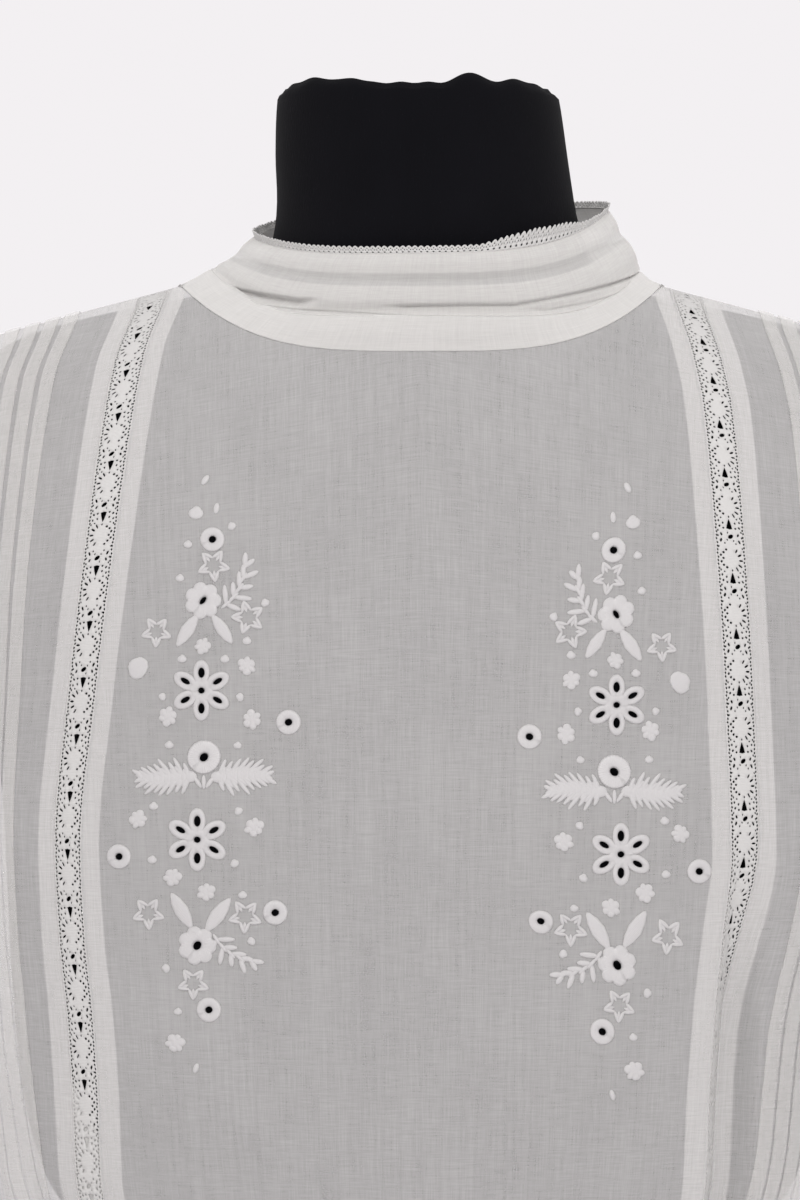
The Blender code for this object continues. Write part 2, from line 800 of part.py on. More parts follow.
add_form()
add_turned("stand_base", BASE_RADIUS, 0.0, BASE_THICKNESS, BASE_EDGE, 48, steel)
pole_bottom = BASE_THICKNESS + SEAT_GAP
add_turned("stand_pole", POLE_RADIUS, pole_bottom, FORM_SECTIONS[0][0] - SEAT_GAP, 0.0, 20, steel)

add_panel("front_centre", front_columns(), False, cloth)
for on_right in (False, True):
    side_word = "right" if on_right else "left"
    strip = [(reach, 0.0, False) for reach in (SEAM_GAP / 2, LACE_WIDTH / 2, LACE_WIDTH - SEAM_GAP / 2)]
    add_panel("lace_" + side_word, strip_columns(strip, on_right), False, lace)
    add_panel("side_front_" + side_word, side_columns(on_right), False, cloth)
    add_panel("back_" + side_word, back_columns(on_right), True, cloth)
    add_sleeve(on_right)
add_neck()
add_waistband()
add_buttons()
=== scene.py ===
# %% [markdown]
# # A white lawn blouse on a dress form
#
# The real blouse is cut from thin cotton lawn, so thin that the black form shows through one layer
# as grey. Wherever the maker folded the cloth it turns white: the bands beside the lace, the tucks,
# the neckband. So the look comes from layers, and this notebook builds each layer as its own thin
# sheet instead of painting pale and dark stripes on one surface.
#
# We work in metres, with the front towards -Y. Left and right are the viewer's.

import math

import bpy
import numpy as np
from mathutils.geometry import delaunay_2d_cdt
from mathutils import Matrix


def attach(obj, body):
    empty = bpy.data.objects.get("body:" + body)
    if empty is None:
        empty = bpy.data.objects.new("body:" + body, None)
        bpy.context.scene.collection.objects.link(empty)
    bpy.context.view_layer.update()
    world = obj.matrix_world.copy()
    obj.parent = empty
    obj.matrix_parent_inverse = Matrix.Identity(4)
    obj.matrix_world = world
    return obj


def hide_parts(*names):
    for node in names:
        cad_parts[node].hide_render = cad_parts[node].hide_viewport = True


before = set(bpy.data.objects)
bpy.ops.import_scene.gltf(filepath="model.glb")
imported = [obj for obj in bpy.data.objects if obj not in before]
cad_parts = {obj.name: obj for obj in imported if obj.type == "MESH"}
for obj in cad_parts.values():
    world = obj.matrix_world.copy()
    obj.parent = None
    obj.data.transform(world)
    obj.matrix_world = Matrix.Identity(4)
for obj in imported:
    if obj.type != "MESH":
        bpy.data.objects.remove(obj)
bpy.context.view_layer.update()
print("solids loaded:", len(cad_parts))

# %% [markdown]
# ## The sizes that the solids were built from
#
# Every sheet has to lie on its solid, so the same tables are repeated here: how wide and deep the
# blouse is at each height, where the lace runs, and where the armhole is. A table of a few heights
# with a smooth curve through it is easier to change than a list of points.

# %% Tables of the blouse
WAIST = 0.385
UNDERARM = 0.620
NECK_HALF = 0.096
NECK_SIDE_HEIGHT = 0.7896
NECK_FRONT_HEIGHT = 0.761
NECK_BACK_HEIGHT = 0.7716
NECK_CURVE = 3.5
SHOULDER_SLOPE = math.tan(math.radians(15))
SEAM_GAP = 0.0004
# metres of cloth for one unit of angle and of rise, on the flat pattern
HALF_WIDTH = 0.2
RISE_LENGTH = 0.17

LACE_WIDTH = 0.0138
BAND_WIDTH = 0.0070
BAND_WIDER = 0.0022
EDGE_LAP = 0.0007
TUCK_PITCH = 0.0082
TUCKS = 4

print("lace", LACE_WIDTH, "m wide,", TUCKS, "tucks,", TUCK_PITCH, "m apart")

# %% [markdown]
# The blouse from waist to shoulder, and the lines that run down it. Each row of a table is one
# height. Where a table has two columns for a line, the first is the left side's, because the real
# blouse hangs a little unevenly and so do its lace and tucks.

# %% Tables of the body and its lines
# height, half width, depth of the front, depth of the back
BODY_SECTIONS = (
    (0.385, 0.134, 0.0940, 0.0880),
    (0.410, 0.166, 0.1110, 0.1015),
    (0.440, 0.1745, 0.1170, 0.1070),
    (0.500, 0.182, 0.1185, 0.1105),
    (0.570, 0.188, 0.1180, 0.1130),
    (0.620, 0.192, 0.1130, 0.1135),
    (0.700, 0.200, 0.1120, 0.1130),
    (0.830, 0.206, 0.1120, 0.1130),
)

# height, middle of the left lace from the centre, middle of the right lace from the centre
LACE_LINES = (
    (0.385, 0.1040, 0.0905),
    (0.410, 0.1205, 0.1030),
    (0.440, 0.1297, 0.1105),
    (0.475, 0.1310, 0.1120),
    (0.507, 0.1332, 0.1146),
    (0.531, 0.1358, 0.1186),
    (0.569, 0.1376, 0.1247),
    (0.626, 0.1319, 0.1226),
    (0.695, 0.1235, 0.1185),
    (0.742, 0.1172, 0.1149),
    (0.762, 0.1138, 0.1113),
    (0.790, 0.1060, 0.1050),
)

# height, width of the plain strip between the band and the first tuck, left and right
PLAIN_STRIPS = (
    (0.385, 0.0060, 0.0050),
    (0.424, 0.0080, 0.0070),
    (0.455, 0.0095, 0.0110),
    (0.500, 0.0120, 0.0130),
    (0.570, 0.0115, 0.0110),
    (0.625, 0.0130, 0.0130),
    (0.690, 0.0150, 0.0155),
    (0.790, 0.0145, 0.0140),
)

# height, distance of the armhole's edge from the centre
ARMHOLE = (
    (0.6200, 0.1919),
    (0.6243, 0.1875),
    (0.6410, 0.1815),
    (0.6900, 0.1780),
    (0.7420, 0.1840),
    (0.7700, 0.1905),
)

print("heights along the lace:", len(LACE_LINES))

# %% [markdown]
# Cloth that is drawn in by a waistband has to go somewhere: it falls into soft folds that are
# deepest just above the band. One deep fold runs just outside the lower end of the right lace.

# %% Tables of the folds
# angle from the middle in degrees, depth, half width in degrees, height where it fades, on the back
SOFT_FOLDS = (
    (-8.0, 0.0050, 3.2, 0.500, False),
    (7.0, 0.0040, 3.0, 0.470, False),
    (21.0, 0.0045, 3.2, 0.480, False),
    (-24.0, 0.0045, 3.4, 0.480, False),
    (-62.0, 0.0050, 4.5, 0.490, False),
    (64.0, 0.0050, 4.5, 0.500, False),
    (-20.0, 0.0050, 5.0, 0.480, True),
    (24.0, 0.0045, 5.0, 0.470, True),
    (-50.0, 0.0050, 5.5, 0.490, True),
    (52.0, 0.0050, 5.5, 0.480, True),
)
FOLD_FULL = 0.410
FOLD_RUNS_OUT = 0.02

# the deep fold just outside the right lace
DEEP_FOLD = 0.0125
DEEP_FOLD_TOP = 0.580
DEEP_FOLD_FULL = 0.490
DEEP_FOLD_WALL = 0.0045
DEEP_FOLD_FLOOR = 0.0090
DEEP_FOLD_RETURN = 0.0120
print("soft folds:", len(SOFT_FOLDS))

# %% [markdown]
# The neckband and the collar are rings that are lower in front than at the sides. The dress form is
# a stack of rounded sections that stay a little inside the cloth.

# %% Tables of the collar and the form
# half width, front, back, height at the front, at the sides, at the back, then for the right side:
# its lift and its shift outwards; last, how flat the ring stays before it climbs to the sides
BAND_SECTIONS = (
    (0.0908, 0.0785, 0.0710, 0.7674, 0.7925, 0.7790, -0.0003, 0.0005, 3.9),
    (0.0866, 0.0772, 0.0690, 0.7738, 0.7955, 0.7870, -0.0005, 0.0018, 5.2),
)
COLLAR_SECTIONS = (
    (0.0860, 0.0766, 0.0684, 0.7743, 0.7960, 0.7876, -0.0004, 0.0018, 5.2),
    (0.0848, 0.0738, 0.0672, 0.7766, 0.7978, 0.7900, 0.0008, 0.0022, 5.0),
    (0.0832, 0.0757, 0.0676, 0.7806, 0.8014, 0.7965, 0.0024, 0.0024, 4.7),
    (0.0798, 0.0746, 0.0670, 0.7850, 0.8052, 0.8035, 0.0042, 0.0026, 4.4),
    (0.0768, 0.0712, 0.0664, 0.7885, 0.8078, 0.8100, 0.0045, 0.0030, 4.5),
    (0.0748, 0.0714, 0.0660, 0.7940, 0.8112, 0.8175, 0.0050, 0.0036, 4.6),
    (0.0706, 0.0672, 0.0656, 0.7990, 0.8155, 0.8235, 0.0060, 0.0042, 5.0),
)

# height, half width, front, back, shift towards the right
FORM_SECTIONS = (
    (0.186, 0.118, 0.078, 0.080, 0.0),
    (0.190, 0.140, 0.096, 0.098, 0.0),
    (0.200, 0.154, 0.105, 0.108, 0.0),
    (0.250, 0.160, 0.108, 0.113, 0.0),
    (0.310, 0.140, 0.094, 0.099, 0.0),
    (0.360, 0.1190, 0.0860, 0.0810, 0.0),
    (0.395, 0.1180, 0.0850, 0.0790, 0.0),
    (0.412, 0.1330, 0.0870, 0.0810, 0.0),
    (0.435, 0.1500, 0.0900, 0.0840, 0.0),
    (0.475, 0.1600, 0.0960, 0.0900, 0.0),
    (0.525, 0.1640, 0.1010, 0.0970, 0.0),
    (0.570, 0.1660, 0.1030, 0.1000, 0.0),
    (0.620, 0.170, 0.100, 0.102, 0.0),
    (0.680, 0.1725, 0.090, 0.100, 0.0),
    (0.720, 0.1710, 0.080, 0.088, 0.0),
    (0.745, 0.1720, 0.070, 0.076, 0.0),
    (0.760, 0.1720, 0.066, 0.067, 0.0),
    (0.770, 0.1570, 0.063, 0.060, 0.0005),
    (0.777, 0.1330, 0.0615, 0.0580, 0.0010),
    (0.783, 0.1025, 0.0600, 0.0560, 0.0012),
    (0.788, 0.0790, 0.0590, 0.0560, 0.0018),
    (0.796, 0.0675, 0.0605, 0.0565, 0.0024),
    (0.807, 0.0622, 0.0610, 0.0570, 0.0026),
    (0.823, 0.0594, 0.0590, 0.0560, 0.0018),
    (0.842, 0.0583, 0.0570, 0.0550, 0.0001),
    (0.868, 0.0556, 0.0540, 0.0540, -0.0013),
    (0.871, 0.0530, 0.0515, 0.0515, -0.0014),
)
FORM_ROUNDNESS = 2.25
FORM_UNDER_CLOTH = 0.0028
print("sections of the form:", len(FORM_SECTIONS))

# %% [markdown]
# ## Reading a smooth curve through a table
#
# Straight lines between the heights would show as bends in the cloth. A cubic curve that never
# overshoots its points keeps the outline calm, as cloth under light tension is.

# %% Smooth tables
def smooth(share):
    share = np.clip(share, 0.0, 1.0)
    return share * share * (3.0 - 2.0 * share)


def curve_through(table):
    """A function that gives any column of the table at any heights."""
    rows = np.array(table, float)
    heights, values = rows[:, 0], rows[:, 1:]
    spans = np.diff(heights)
    grades = np.diff(values, axis=0) / spans[:, None]
    slopes = np.zeros_like(values)
    product = grades[:-1] * grades[1:]
    total = np.where(product > 0.0, grades[:-1] + grades[1:], 1.0)
    slopes[1:-1] = np.where(product > 0.0, 2.0 * product / total, 0.0)

    def read(height, column):
        height = np.clip(height, heights[0], heights[-1])
        low = np.clip(np.searchsorted(heights, height) - 1, 0, len(spans) - 1)
        t = (height - heights[low]) / spans[low]
        start, end = values[low, column], values[low + 1, column]
        lean = spans[low] * (
            (t**3 - 2 * t**2 + t) * slopes[low, column] + (t**3 - t**2) * slopes[low + 1, column]
        )
        return start + (3 * t**2 - 2 * t**3) * (end - start) + lean

    return read


body = curve_through(BODY_SECTIONS)
lace_line = curve_through(LACE_LINES)
plain_strip = curve_through(PLAIN_STRIPS)
armhole = curve_through(ARMHOLE)
form = curve_through(FORM_SECTIONS)
print("half width at the underarm:", round(float(body(UNDERARM, 0)), 4))

# %% [markdown]
# ## The surface of the blouse
#
# Two numbers place a point: an angle round the body and a rise, which goes up from the underarm
# and over the shoulder. Cloth that turns over a shoulder can't be drawn as rings at one height, and
# this pair of numbers follows it all the way to the shoulder seam.

# %% Points on the body
def shoulder_height(across):
    return NECK_SIDE_HEIGHT - (np.abs(across) - NECK_HALF) * SHOULDER_SLOPE


def height_of(across, rise):
    over = UNDERARM + (shoulder_height(across) - UNDERARM) * np.sin(rise)
    return np.where(rise < 0.0, UNDERARM + rise * RISE_LENGTH, over)


def rise_at(across, height):
    up = height - UNDERARM
    share = up / (shoulder_height(across) - UNDERARM)
    return np.where(height < UNDERARM, up / RISE_LENGTH, np.arcsin(np.clip(share, -1, 1)))


def above_waist(height):
    """Folds run out just above the waistband, where the cloth is sewn in flat."""
    return smooth((height - WAIST) / FOLD_RUNS_OUT)


def deep_fold_share(height):
    opened = smooth((DEEP_FOLD_TOP - height) / (DEEP_FOLD_TOP - DEEP_FOLD_FULL))
    return opened * above_waist(height)


def deep_fold_lace(height):
    return LACE_WIDTH * (0.88 - 0.62 * deep_fold_share(height))


def soft_fold_depth(angle, height, back):
    degrees = np.degrees(angle)
    depth = np.zeros(np.shape(height))
    for middle, deep, wide, top, on_back in SOFT_FOLDS:
        if on_back == back:
            fade = smooth((top - height) / (top - FOLD_FULL)) * above_waist(height)
            depth = depth + deep * fade * np.exp(-(((degrees - middle) / wide) ** 2))
    return depth


def deep_fold_depth(across, height):
    """How far the deep fold by the right lace sinks straight back."""
    past = across - (lace_line(height, 1) - deep_fold_lace(height) / 2)
    wall = smooth(past / DEEP_FOLD_WALL)
    returned = 1.0 - smooth((past - DEEP_FOLD_FLOOR) / DEEP_FOLD_RETURN)
    return np.where(across > 0.0, DEEP_FOLD * deep_fold_share(height) * wall * returned, 0.0)


def across_at(angle, rise):
    """How far out a point lies; its height depends on that, so a few rounds settle both."""
    across = HALF_WIDTH * np.sin(angle)
    for _ in range(4):
        across = body(height_of(across, rise), 0) * np.sin(angle)
    return across


def body_point(angle, rise, back):
    across = across_at(angle, rise)
    height = height_of(across, rise)
    level = body(height, 2 if back else 1) * np.cos(angle)
    depth = level * np.cos(np.maximum(rise, 0.0)) + SEAM_GAP / 2
    return np.stack([across, depth if back else -depth, height], -1)


def unit(vectors):
    return vectors / np.maximum(np.linalg.norm(vectors, axis=-1, keepdims=True), 1e-12)


def on_body(angle, rise, back=False, raised=0.0):
    """Places on the cloth, raised off it, and the outward direction there."""
    angle, rise = np.broadcast_arrays(np.asarray(angle, float), np.asarray(rise, float))
    step = 0.004
    along = body_point(angle + step, rise, back) - body_point(angle - step, rise, back)
    up = body_point(angle, rise + step, back) - body_point(angle, rise - step, back)
    normal = unit(np.cross(along, up)) * (-1.0 if back else 1.0)
    point = body_point(angle, rise, back)
    inwards = soft_fold_depth(angle, point[..., 2], back)
    moved = point + normal * (np.asarray(raised) - inwards)[..., None]
    if not back:
        moved[..., 1] += deep_fold_depth(point[..., 0], point[..., 2])
    return moved, normal


def angle_at(across, rise):
    return np.arcsin(np.clip(across / body(height_of(across, rise), 0), -1.0, 1.0))


def on_front(across, height, raised=0.0):
    """Places on the front from where they are seen, straight on."""
    rise = rise_at(across, height)
    return on_body(angle_at(across, rise), rise, False, raised)

# %% [markdown]
# ## The edges that the panels share
#
# The neckline, the armhole and the two lace lines are where the maker cut. Each is one function, so
# the two pieces that meet there always agree.

# %% Panel edges
def neckline_height(across, back):
    low = NECK_BACK_HEIGHT if back else NECK_FRONT_HEIGHT
    share = np.minimum(np.abs(across) / NECK_HALF, 1.0)
    return low + (NECK_SIDE_HEIGHT - low) * share**NECK_CURVE


def top_rise(across, back):
    share = (neckline_height(across, back) - UNDERARM) / (shoulder_height(across) - UNDERARM)
    return np.where(np.abs(across) >= NECK_HALF, np.pi / 2, np.arcsin(np.minimum(share, 1.0)))


def edge_angle(rise):
    across = np.full(np.shape(rise), 0.185)
    for _ in range(6):
        across = armhole(height_of(across, rise), 0)
    return np.where(np.asarray(rise) <= 0.0, np.pi / 2, angle_at(across, rise))


def lace_reach(rise, right):
    across = np.full(np.shape(rise), 0.12)
    for _ in range(5):
        height = height_of(across, rise)
        seen = deep_fold_lace(height) if right else LACE_WIDTH * 0.90
        across = lace_line(height, 1 if right else 0) - seen / 2
    return across


def lace_edge(rise, right):
    across = lace_reach(rise, right)
    return angle_at(across if right else -across, rise)


def plain_width(rise, right):
    """The strip of single cloth between the band and the first tuck."""
    return plain_strip(height_of(lace_reach(rise, right), rise), 1 if right else 0)


SHOULDER_RISE = np.pi / 2
LOW_RISE = (WAIST + SEAM_GAP - UNDERARM) / RISE_LENGTH
ROWS = np.concatenate([np.linspace(SHOULDER_RISE, 0, 150), np.linspace(0, LOW_RISE, 150)[1:]])
HAND = {False: "left", True: "right"}
print("rows from shoulder to waist:", len(ROWS))

# %% [markdown]
# ## Measuring along the cloth
#
# Lace, bands and tucks are laid out by distance over the cloth, as with a tape. For each row the
# points are walked from the lace's edge outwards and the distance is noted. Reading that list the
# other way round turns any distance back into a place.

# %% Distances from the lace's edge
REACH_STEP = 0.0005
REACH = np.arange(-0.014, 0.150, REACH_STEP)


def tape(points):
    """The distance walked along a line of points, from its first one."""
    return np.concatenate([[0.0], np.cumsum(np.linalg.norm(np.diff(points, axis=0), axis=1))])


class Strip:
    """Places on one side of the front, by distance from the inner edge of its lace."""

    def __init__(self, right):
        side = 1.0 if right else -1.0
        start = lace_edge(ROWS, right)
        first = start - side * 0.09
        last = side * edge_angle(ROWS)
        share = np.linspace(0, 1, 420)
        angles = first[:, None] + (last - first)[:, None] * share
        points = on_body(angles, np.repeat(ROWS[:, None], len(share), 1))[0]
        walked = np.zeros(angles.shape)
        walked[:, 1:] = np.cumsum(np.linalg.norm(np.diff(points, axis=1), axis=2), axis=1)
        self.table = np.zeros((len(ROWS), len(REACH)))
        self.width = np.zeros(len(ROWS))
        for row in range(len(ROWS)):
            zero = np.interp(start[row] * side, angles[row] * side, walked[row])
            self.table[row] = np.interp(REACH, walked[row] - zero, angles[row])
            self.width[row] = walked[row][-1] - zero
        middle = self.at(np.full(len(ROWS), LACE_WIDTH / 2), ROWS)[0]
        self.lengths = tape(middle)

    def angle(self, distance, rise):
        row = np.interp(-rise, -ROWS, np.arange(len(ROWS)))
        column = np.clip((distance - REACH[0]) / REACH_STEP, 0, len(REACH) - 1.001)
        r, c = np.minimum(row.astype(int), len(ROWS) - 2), column.astype(int)
        fr, fc = row - r, column - c
        upper = self.table[r, c] * (1 - fc) + self.table[r, c + 1] * fc
        lower = self.table[r + 1, c] * (1 - fc) + self.table[r + 1, c + 1] * fc
        return upper * (1 - fr) + lower * fr

    def at(self, distance, rise, raised=0.0):
        distance, rise = np.broadcast_arrays(distance, rise)
        return on_body(self.angle(distance, rise), rise, False, raised)

    def rise_after(self, length):
        return np.interp(length, self.lengths, ROWS)

    def full_width(self, rise):
        return np.interp(-rise, -ROWS, self.width)


strips = {False: Strip(False), True: Strip(True)}
print("lace is", round(strips[False].lengths[-1], 3), "m long")

# %% [markdown]
# ## Materials
#
# Thin cotton lets part of the light straight through between its threads, and the threads
# themselves scatter light and glow a little when lit from behind. So the shader mixes Transparent
# with Diffuse and Translucent, and a weave pattern decides how much of each. Each sheet has two
# faces, and each face covers only part, so together they cover about half.

# %% Shader helpers
def new_material(name):
    material = bpy.data.materials.new(name)
    material.use_nodes = True
    material.node_tree.nodes.clear()
    return material


def add_node(material, kind, inputs=(), **settings):
    node = material.node_tree.nodes.new("ShaderNode" + kind)
    for setting, value in settings.items():
        setattr(node, setting, value)
    for socket, value in dict(inputs).items():
        if isinstance(value, bpy.types.NodeSocket):
            material.node_tree.links.new(value, node.inputs[socket])
        else:
            node.inputs[socket].default_value = value
    return node


def noise(material, place, stretch, scale, detail=2.0):
    """Noise whose grain is stretched along the cloth; stretch is in cells per metre."""
    mapped = add_node(material, "Mapping", {"Vector": place, "Scale": stretch})
    grain = add_node(
        material, "TexNoise", {"Vector": mapped.outputs[0], "Scale": scale, "Detail": detail}
    )
    return grain.outputs[0]


def sum_of(material, start, *parts):
    """start plus each noise, moved to lie round 0, times its weight."""
    total = start
    for value, weight in parts:
        centred = add_node(
            material, "Math", {0: value, 1: weight, 2: -weight / 2}, operation="MULTIPLY_ADD"
        )
        total = add_node(
            material, "Math", {0: total, 1: centred.outputs[0]}, operation="ADD"
        ).outputs[0]
    return total


def two_tones(material, grain, dark, light):
    """A colour between two close tones, chosen by the grain."""
    tones = add_node(material, "ValToRGB", {0: grain})
    for element, colour in zip(tones.color_ramp.elements, (dark, light)):
        element.color = (*colour, 1)
    return tones.outputs[0]


def bumpy(material, height, strength, distance):
    relief = {"Height": height, "Strength": strength, "Distance": distance}
    return add_node(material, "Bump", relief).outputs[0]


def mixed(material, share, first, second):
    return add_node(material, "MixShader", {0: share, 1: first.outputs[0], 2: second.outputs[0]})


def surface_of(material, shader):
    add_node(material, "OutputMaterial", {"Surface": shader.outputs[0]})
    return material

# %% [markdown]
# The lawn's threads are uneven: thicker ones run both ways, and some places are woven closer. Five
# noises make that, and together they say how much of the face is thread. A folded piece covers
# more, because its two layers are built as one.

# %% Lawn
def lawn_material(name, colour, cover, slub, glow=0.10):
    """Woven cotton: cover is the share of one face that thread fills."""
    material = new_material(name)
    place = add_node(material, "UVMap", uv_map="cloth").outputs[0]
    warp = noise(material, place, (2400.0, 90.0, 1.0), 1.0)
    weft = noise(material, place, (110.0, 2400.0, 1.0), 1.0)
    slubs = noise(material, place, (45.0, 900.0, 1.0), 1.0, 3.0)
    ribs = noise(material, place, (520.0, 14.0, 1.0), 1.0, 3.0)
    cloudy = noise(material, place, (30.0, 22.0, 1.0), 1.0, 3.0)
    uneven = (warp, 1.0), (weft, 1.0), (slubs, 0.5), (ribs, 0.7), (cloudy, 0.6)
    amount = sum_of(material, cover, *((grain, slub * share) for grain, share in uneven))
    skin = {"Color": (*colour, 1), "Normal": bumpy(material, amount, 0.35, 0.0004)}
    thread = add_node(material, "BsdfDiffuse", {**skin, "Roughness": 0.9})
    behind = add_node(material, "BsdfTranslucent", skin)
    clear = add_node(material, "BsdfTransparent")
    cotton = mixed(material, glow, thread, behind)
    return surface_of(material, mixed(material, amount, clear, cotton))


WHITE = (0.81, 0.80, 0.79)
IVORY = (0.81, 0.80, 0.78)
lawn = lawn_material("lawn", WHITE, 0.33, 0.13)
lawn_layer = lawn_material("lawn layer", IVORY, 0.50, 0.12)
lawn_tuck = lawn_material("lawn tuck", IVORY, 0.32, 0.12)
lawn_collar = lawn_material("lawn collar", IVORY, 0.42, 0.10)
lawn_folded = lawn_material("lawn folded", IVORY, 0.64, 0.12)

# %% [markdown]
# Lace and satin stitch are thread side by side, so a wave across the piece's own UV gives the rows,
# and a fine noise keeps them from looking drawn with a ruler.

# %% Lace thread and satin stitch
# Blender's wave texture has one band for each 0.314 of its own unit
WAVE_LENGTH = 0.314


def thread_material(name, colour, spacing, depth, glow=0.15):
    """Cotton thread laid side by side; the stitches run across the piece's own length."""
    material = new_material(name)
    place = add_node(material, "UVMap", uv_map="cloth").outputs[0]
    twist = {"Distortion": 1.5, "Detail": 2.0, "Detail Scale": 2.0}
    rows = add_node(
        material,
        "TexWave",
        {"Vector": place, "Scale": WAVE_LENGTH / spacing, **twist},
        bands_direction="Y",
    )
    fuzz = noise(material, place, (900.0, 900.0, 1.0), 1.0)
    height = add_node(material, "Math", {0: rows.outputs[1], 1: fuzz}, operation="ADD")
    shader = add_node(
        material,
        "BsdfPrincipled",
        {
            "Base Color": two_tones(material, fuzz, [channel * 0.90 for channel in colour], colour),
            "Roughness": 0.62,
            "Sheen Weight": 0.25,
            "Normal": bumpy(material, height.outputs[0], 0.5, depth),
        },
    )
    behind = add_node(material, "BsdfTranslucent", {"Color": (*colour, 1)})
    return surface_of(material, mixed(material, glow, shader, behind))


lace_thread = thread_material("lace thread", (0.70, 0.69, 0.67), 0.0006, 0.0002)
satin_thread = thread_material("satin stitch", (0.68, 0.665, 0.66), 0.0005, 0.0003)

# %% [markdown]
# The form's cover is a black knit that hardly shines. Paint and shell differ only in their tones,
# roughness and grain, so one function makes both.

# %% Jersey, paint and shell
def jersey_material():
    """Black knit stretched over the form: fine ribs, hardly any shine."""
    material = new_material("jersey")
    place = add_node(material, "TexCoord").outputs["Object"]
    knit = noise(material, place, (1500.0, 1500.0, 420.0), 1.0, 2.0)
    pile = noise(material, place, (60.0, 60.0, 40.0), 1.0, 3.0)
    black = two_tones(material, pile, (0.0016, 0.0016, 0.0026), (0.0030, 0.0029, 0.0045))
    shader = add_node(
        material,
        "BsdfPrincipled",
        {
            "Base Color": black,
            "Roughness": 0.95,
            "Specular IOR Level": 0.12,
            "Sheen Weight": 0.008,
            "Normal": bumpy(material, knit, 0.4, 0.0004),
        },
    )
    return surface_of(material, shader)


def hard_material(name, dark, light, roughness, grain):
    """Paint or shell: two close tones and a faint grain."""
    material = new_material(name)
    place = add_node(material, "TexCoord").outputs["Object"]
    speckle = noise(material, place, grain, 1.0, 4.0)
    colour = two_tones(material, speckle, dark, light)
    relief = bumpy(material, speckle, 0.12, 0.0004)
    look = {"Base Color": colour, "Roughness": roughness, "Normal": relief}
    return surface_of(material, add_node(material, "BsdfPrincipled", look))


jersey = jersey_material()
painted_steel = hard_material(
    "painted steel", (0.016, 0.016, 0.017), (0.030, 0.030, 0.032), 0.38, (900, 900, 900)
)
shell = hard_material("shell", (0.66, 0.64, 0.60), (0.86, 0.85, 0.82), 0.22, (260, 260, 90))
print("materials:", len(bpy.data.materials))

# %% [markdown]
# ## Making one sheet of cloth
#
# A sheet starts as one layer of faces on the outside of its solid. The Solidify modifier then gives
# it the thickness of the cloth, inwards, and closes the rims. Its UV map is the flat cloth in
# metres, so the weave keeps its real size whatever the sheet does in space.

# %% Sheet helpers
LAWN_THICK = 0.00030
LAYER_THICK = 0.00026
TUCK_THICK = 0.00045
NECK_BAND_THICK = 0.00035
FOLDED_THICK = 0.00060


def select_only(made):
    bpy.ops.object.select_all(action="DESELECT")
    made.select_set(True)
    bpy.context.view_layer.objects.active = made


def apply_all(made):
    select_only(made)
    for modifier in list(made.modifiers):
        bpy.ops.object.modifier_apply(modifier=modifier.name)


def thicken(made, thickness):
    """Give a sheet its thickness, inwards from its outer face."""
    thick = made.modifiers.new("thickness", "SOLIDIFY")
    thick.thickness = thickness
    thick.offset = -1.0
    apply_all(made)


def edit_all(made, operator, **settings):
    """One edit mode operator on all of a piece."""
    select_only(made)
    bpy.ops.object.mode_set(mode="EDIT")
    bpy.ops.mesh.select_all(action="SELECT")
    operator(**settings)
    bpy.ops.object.mode_set(mode="OBJECT")


def new_piece(name, points, faces, flat, normals, material, thickness=0.0):
    """A mesh with its flat UV map, turned to face the given normals and made thick inwards."""
    points = np.asarray(points, float).reshape(-1, 3)
    normals = np.asarray(normals, float).reshape(-1, 3)
    faces = [list(face) for face in faces]
    a, b, c = (points[[face[k] for face in faces]] for k in range(3))
    facing = np.einsum("ij,ij->i", np.cross(b - a, c - a), normals[[face[0] for face in faces]])
    if facing.sum() < 0:
        faces = [face[::-1] for face in faces]
    mesh = bpy.data.meshes.new(name)
    mesh.from_pydata(points.tolist(), [], faces)
    layer = mesh.uv_layers.new(name="cloth")
    corners = np.zeros(len(mesh.loops), np.int32)
    mesh.loops.foreach_get("vertex_index", corners)
    layer.data.foreach_set("uv", np.asarray(flat, np.float32).reshape(-1, 2)[corners].ravel())
    made = bpy.data.objects.new(name, mesh)
    bpy.context.scene.collection.objects.link(made)
    mesh.materials.append(material)
    made["flat_area"] = sum(face.area for face in mesh.polygons)
    if thickness:
        thicken(made, thickness)
    made.data.shade_smooth()
    return made

# %% [markdown]
# Most sheets are a grid of points, so their faces are counted off row by row. At the end each piece
# is hung on the root, and the parts of the solid model that it stands for are hidden.

# %% Faces of a grid, and the finish of a piece
def grid_faces(rows, columns, joined=False):
    """Four-sided faces of a grid of points; joined closes it into a tube."""
    faces = []
    for row in range(rows - 1):
        for column in range(columns if joined else columns - 1):
            here, after = row * columns + column, row * columns + (column + 1) % columns
            faces.append((here, after, after + columns, here + columns))
    return faces


def finish_piece(made, slot, *nodes):
    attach(made, "root")
    if nodes:
        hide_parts(*nodes)
    print(made.name, len(made.data.polygons), "faces", round(made.get("flat_area", 0.0), 4), "m2")

# %% [markdown]
# ## The embroidery chart
#
# White satin stitch with eyelets, one spray on each side of the front, mirrored. The chart is in
# millimetres from the middle of a spray: across, then up. It comes before the front panel because
# the eyelets and the petals are cut through the cloth.

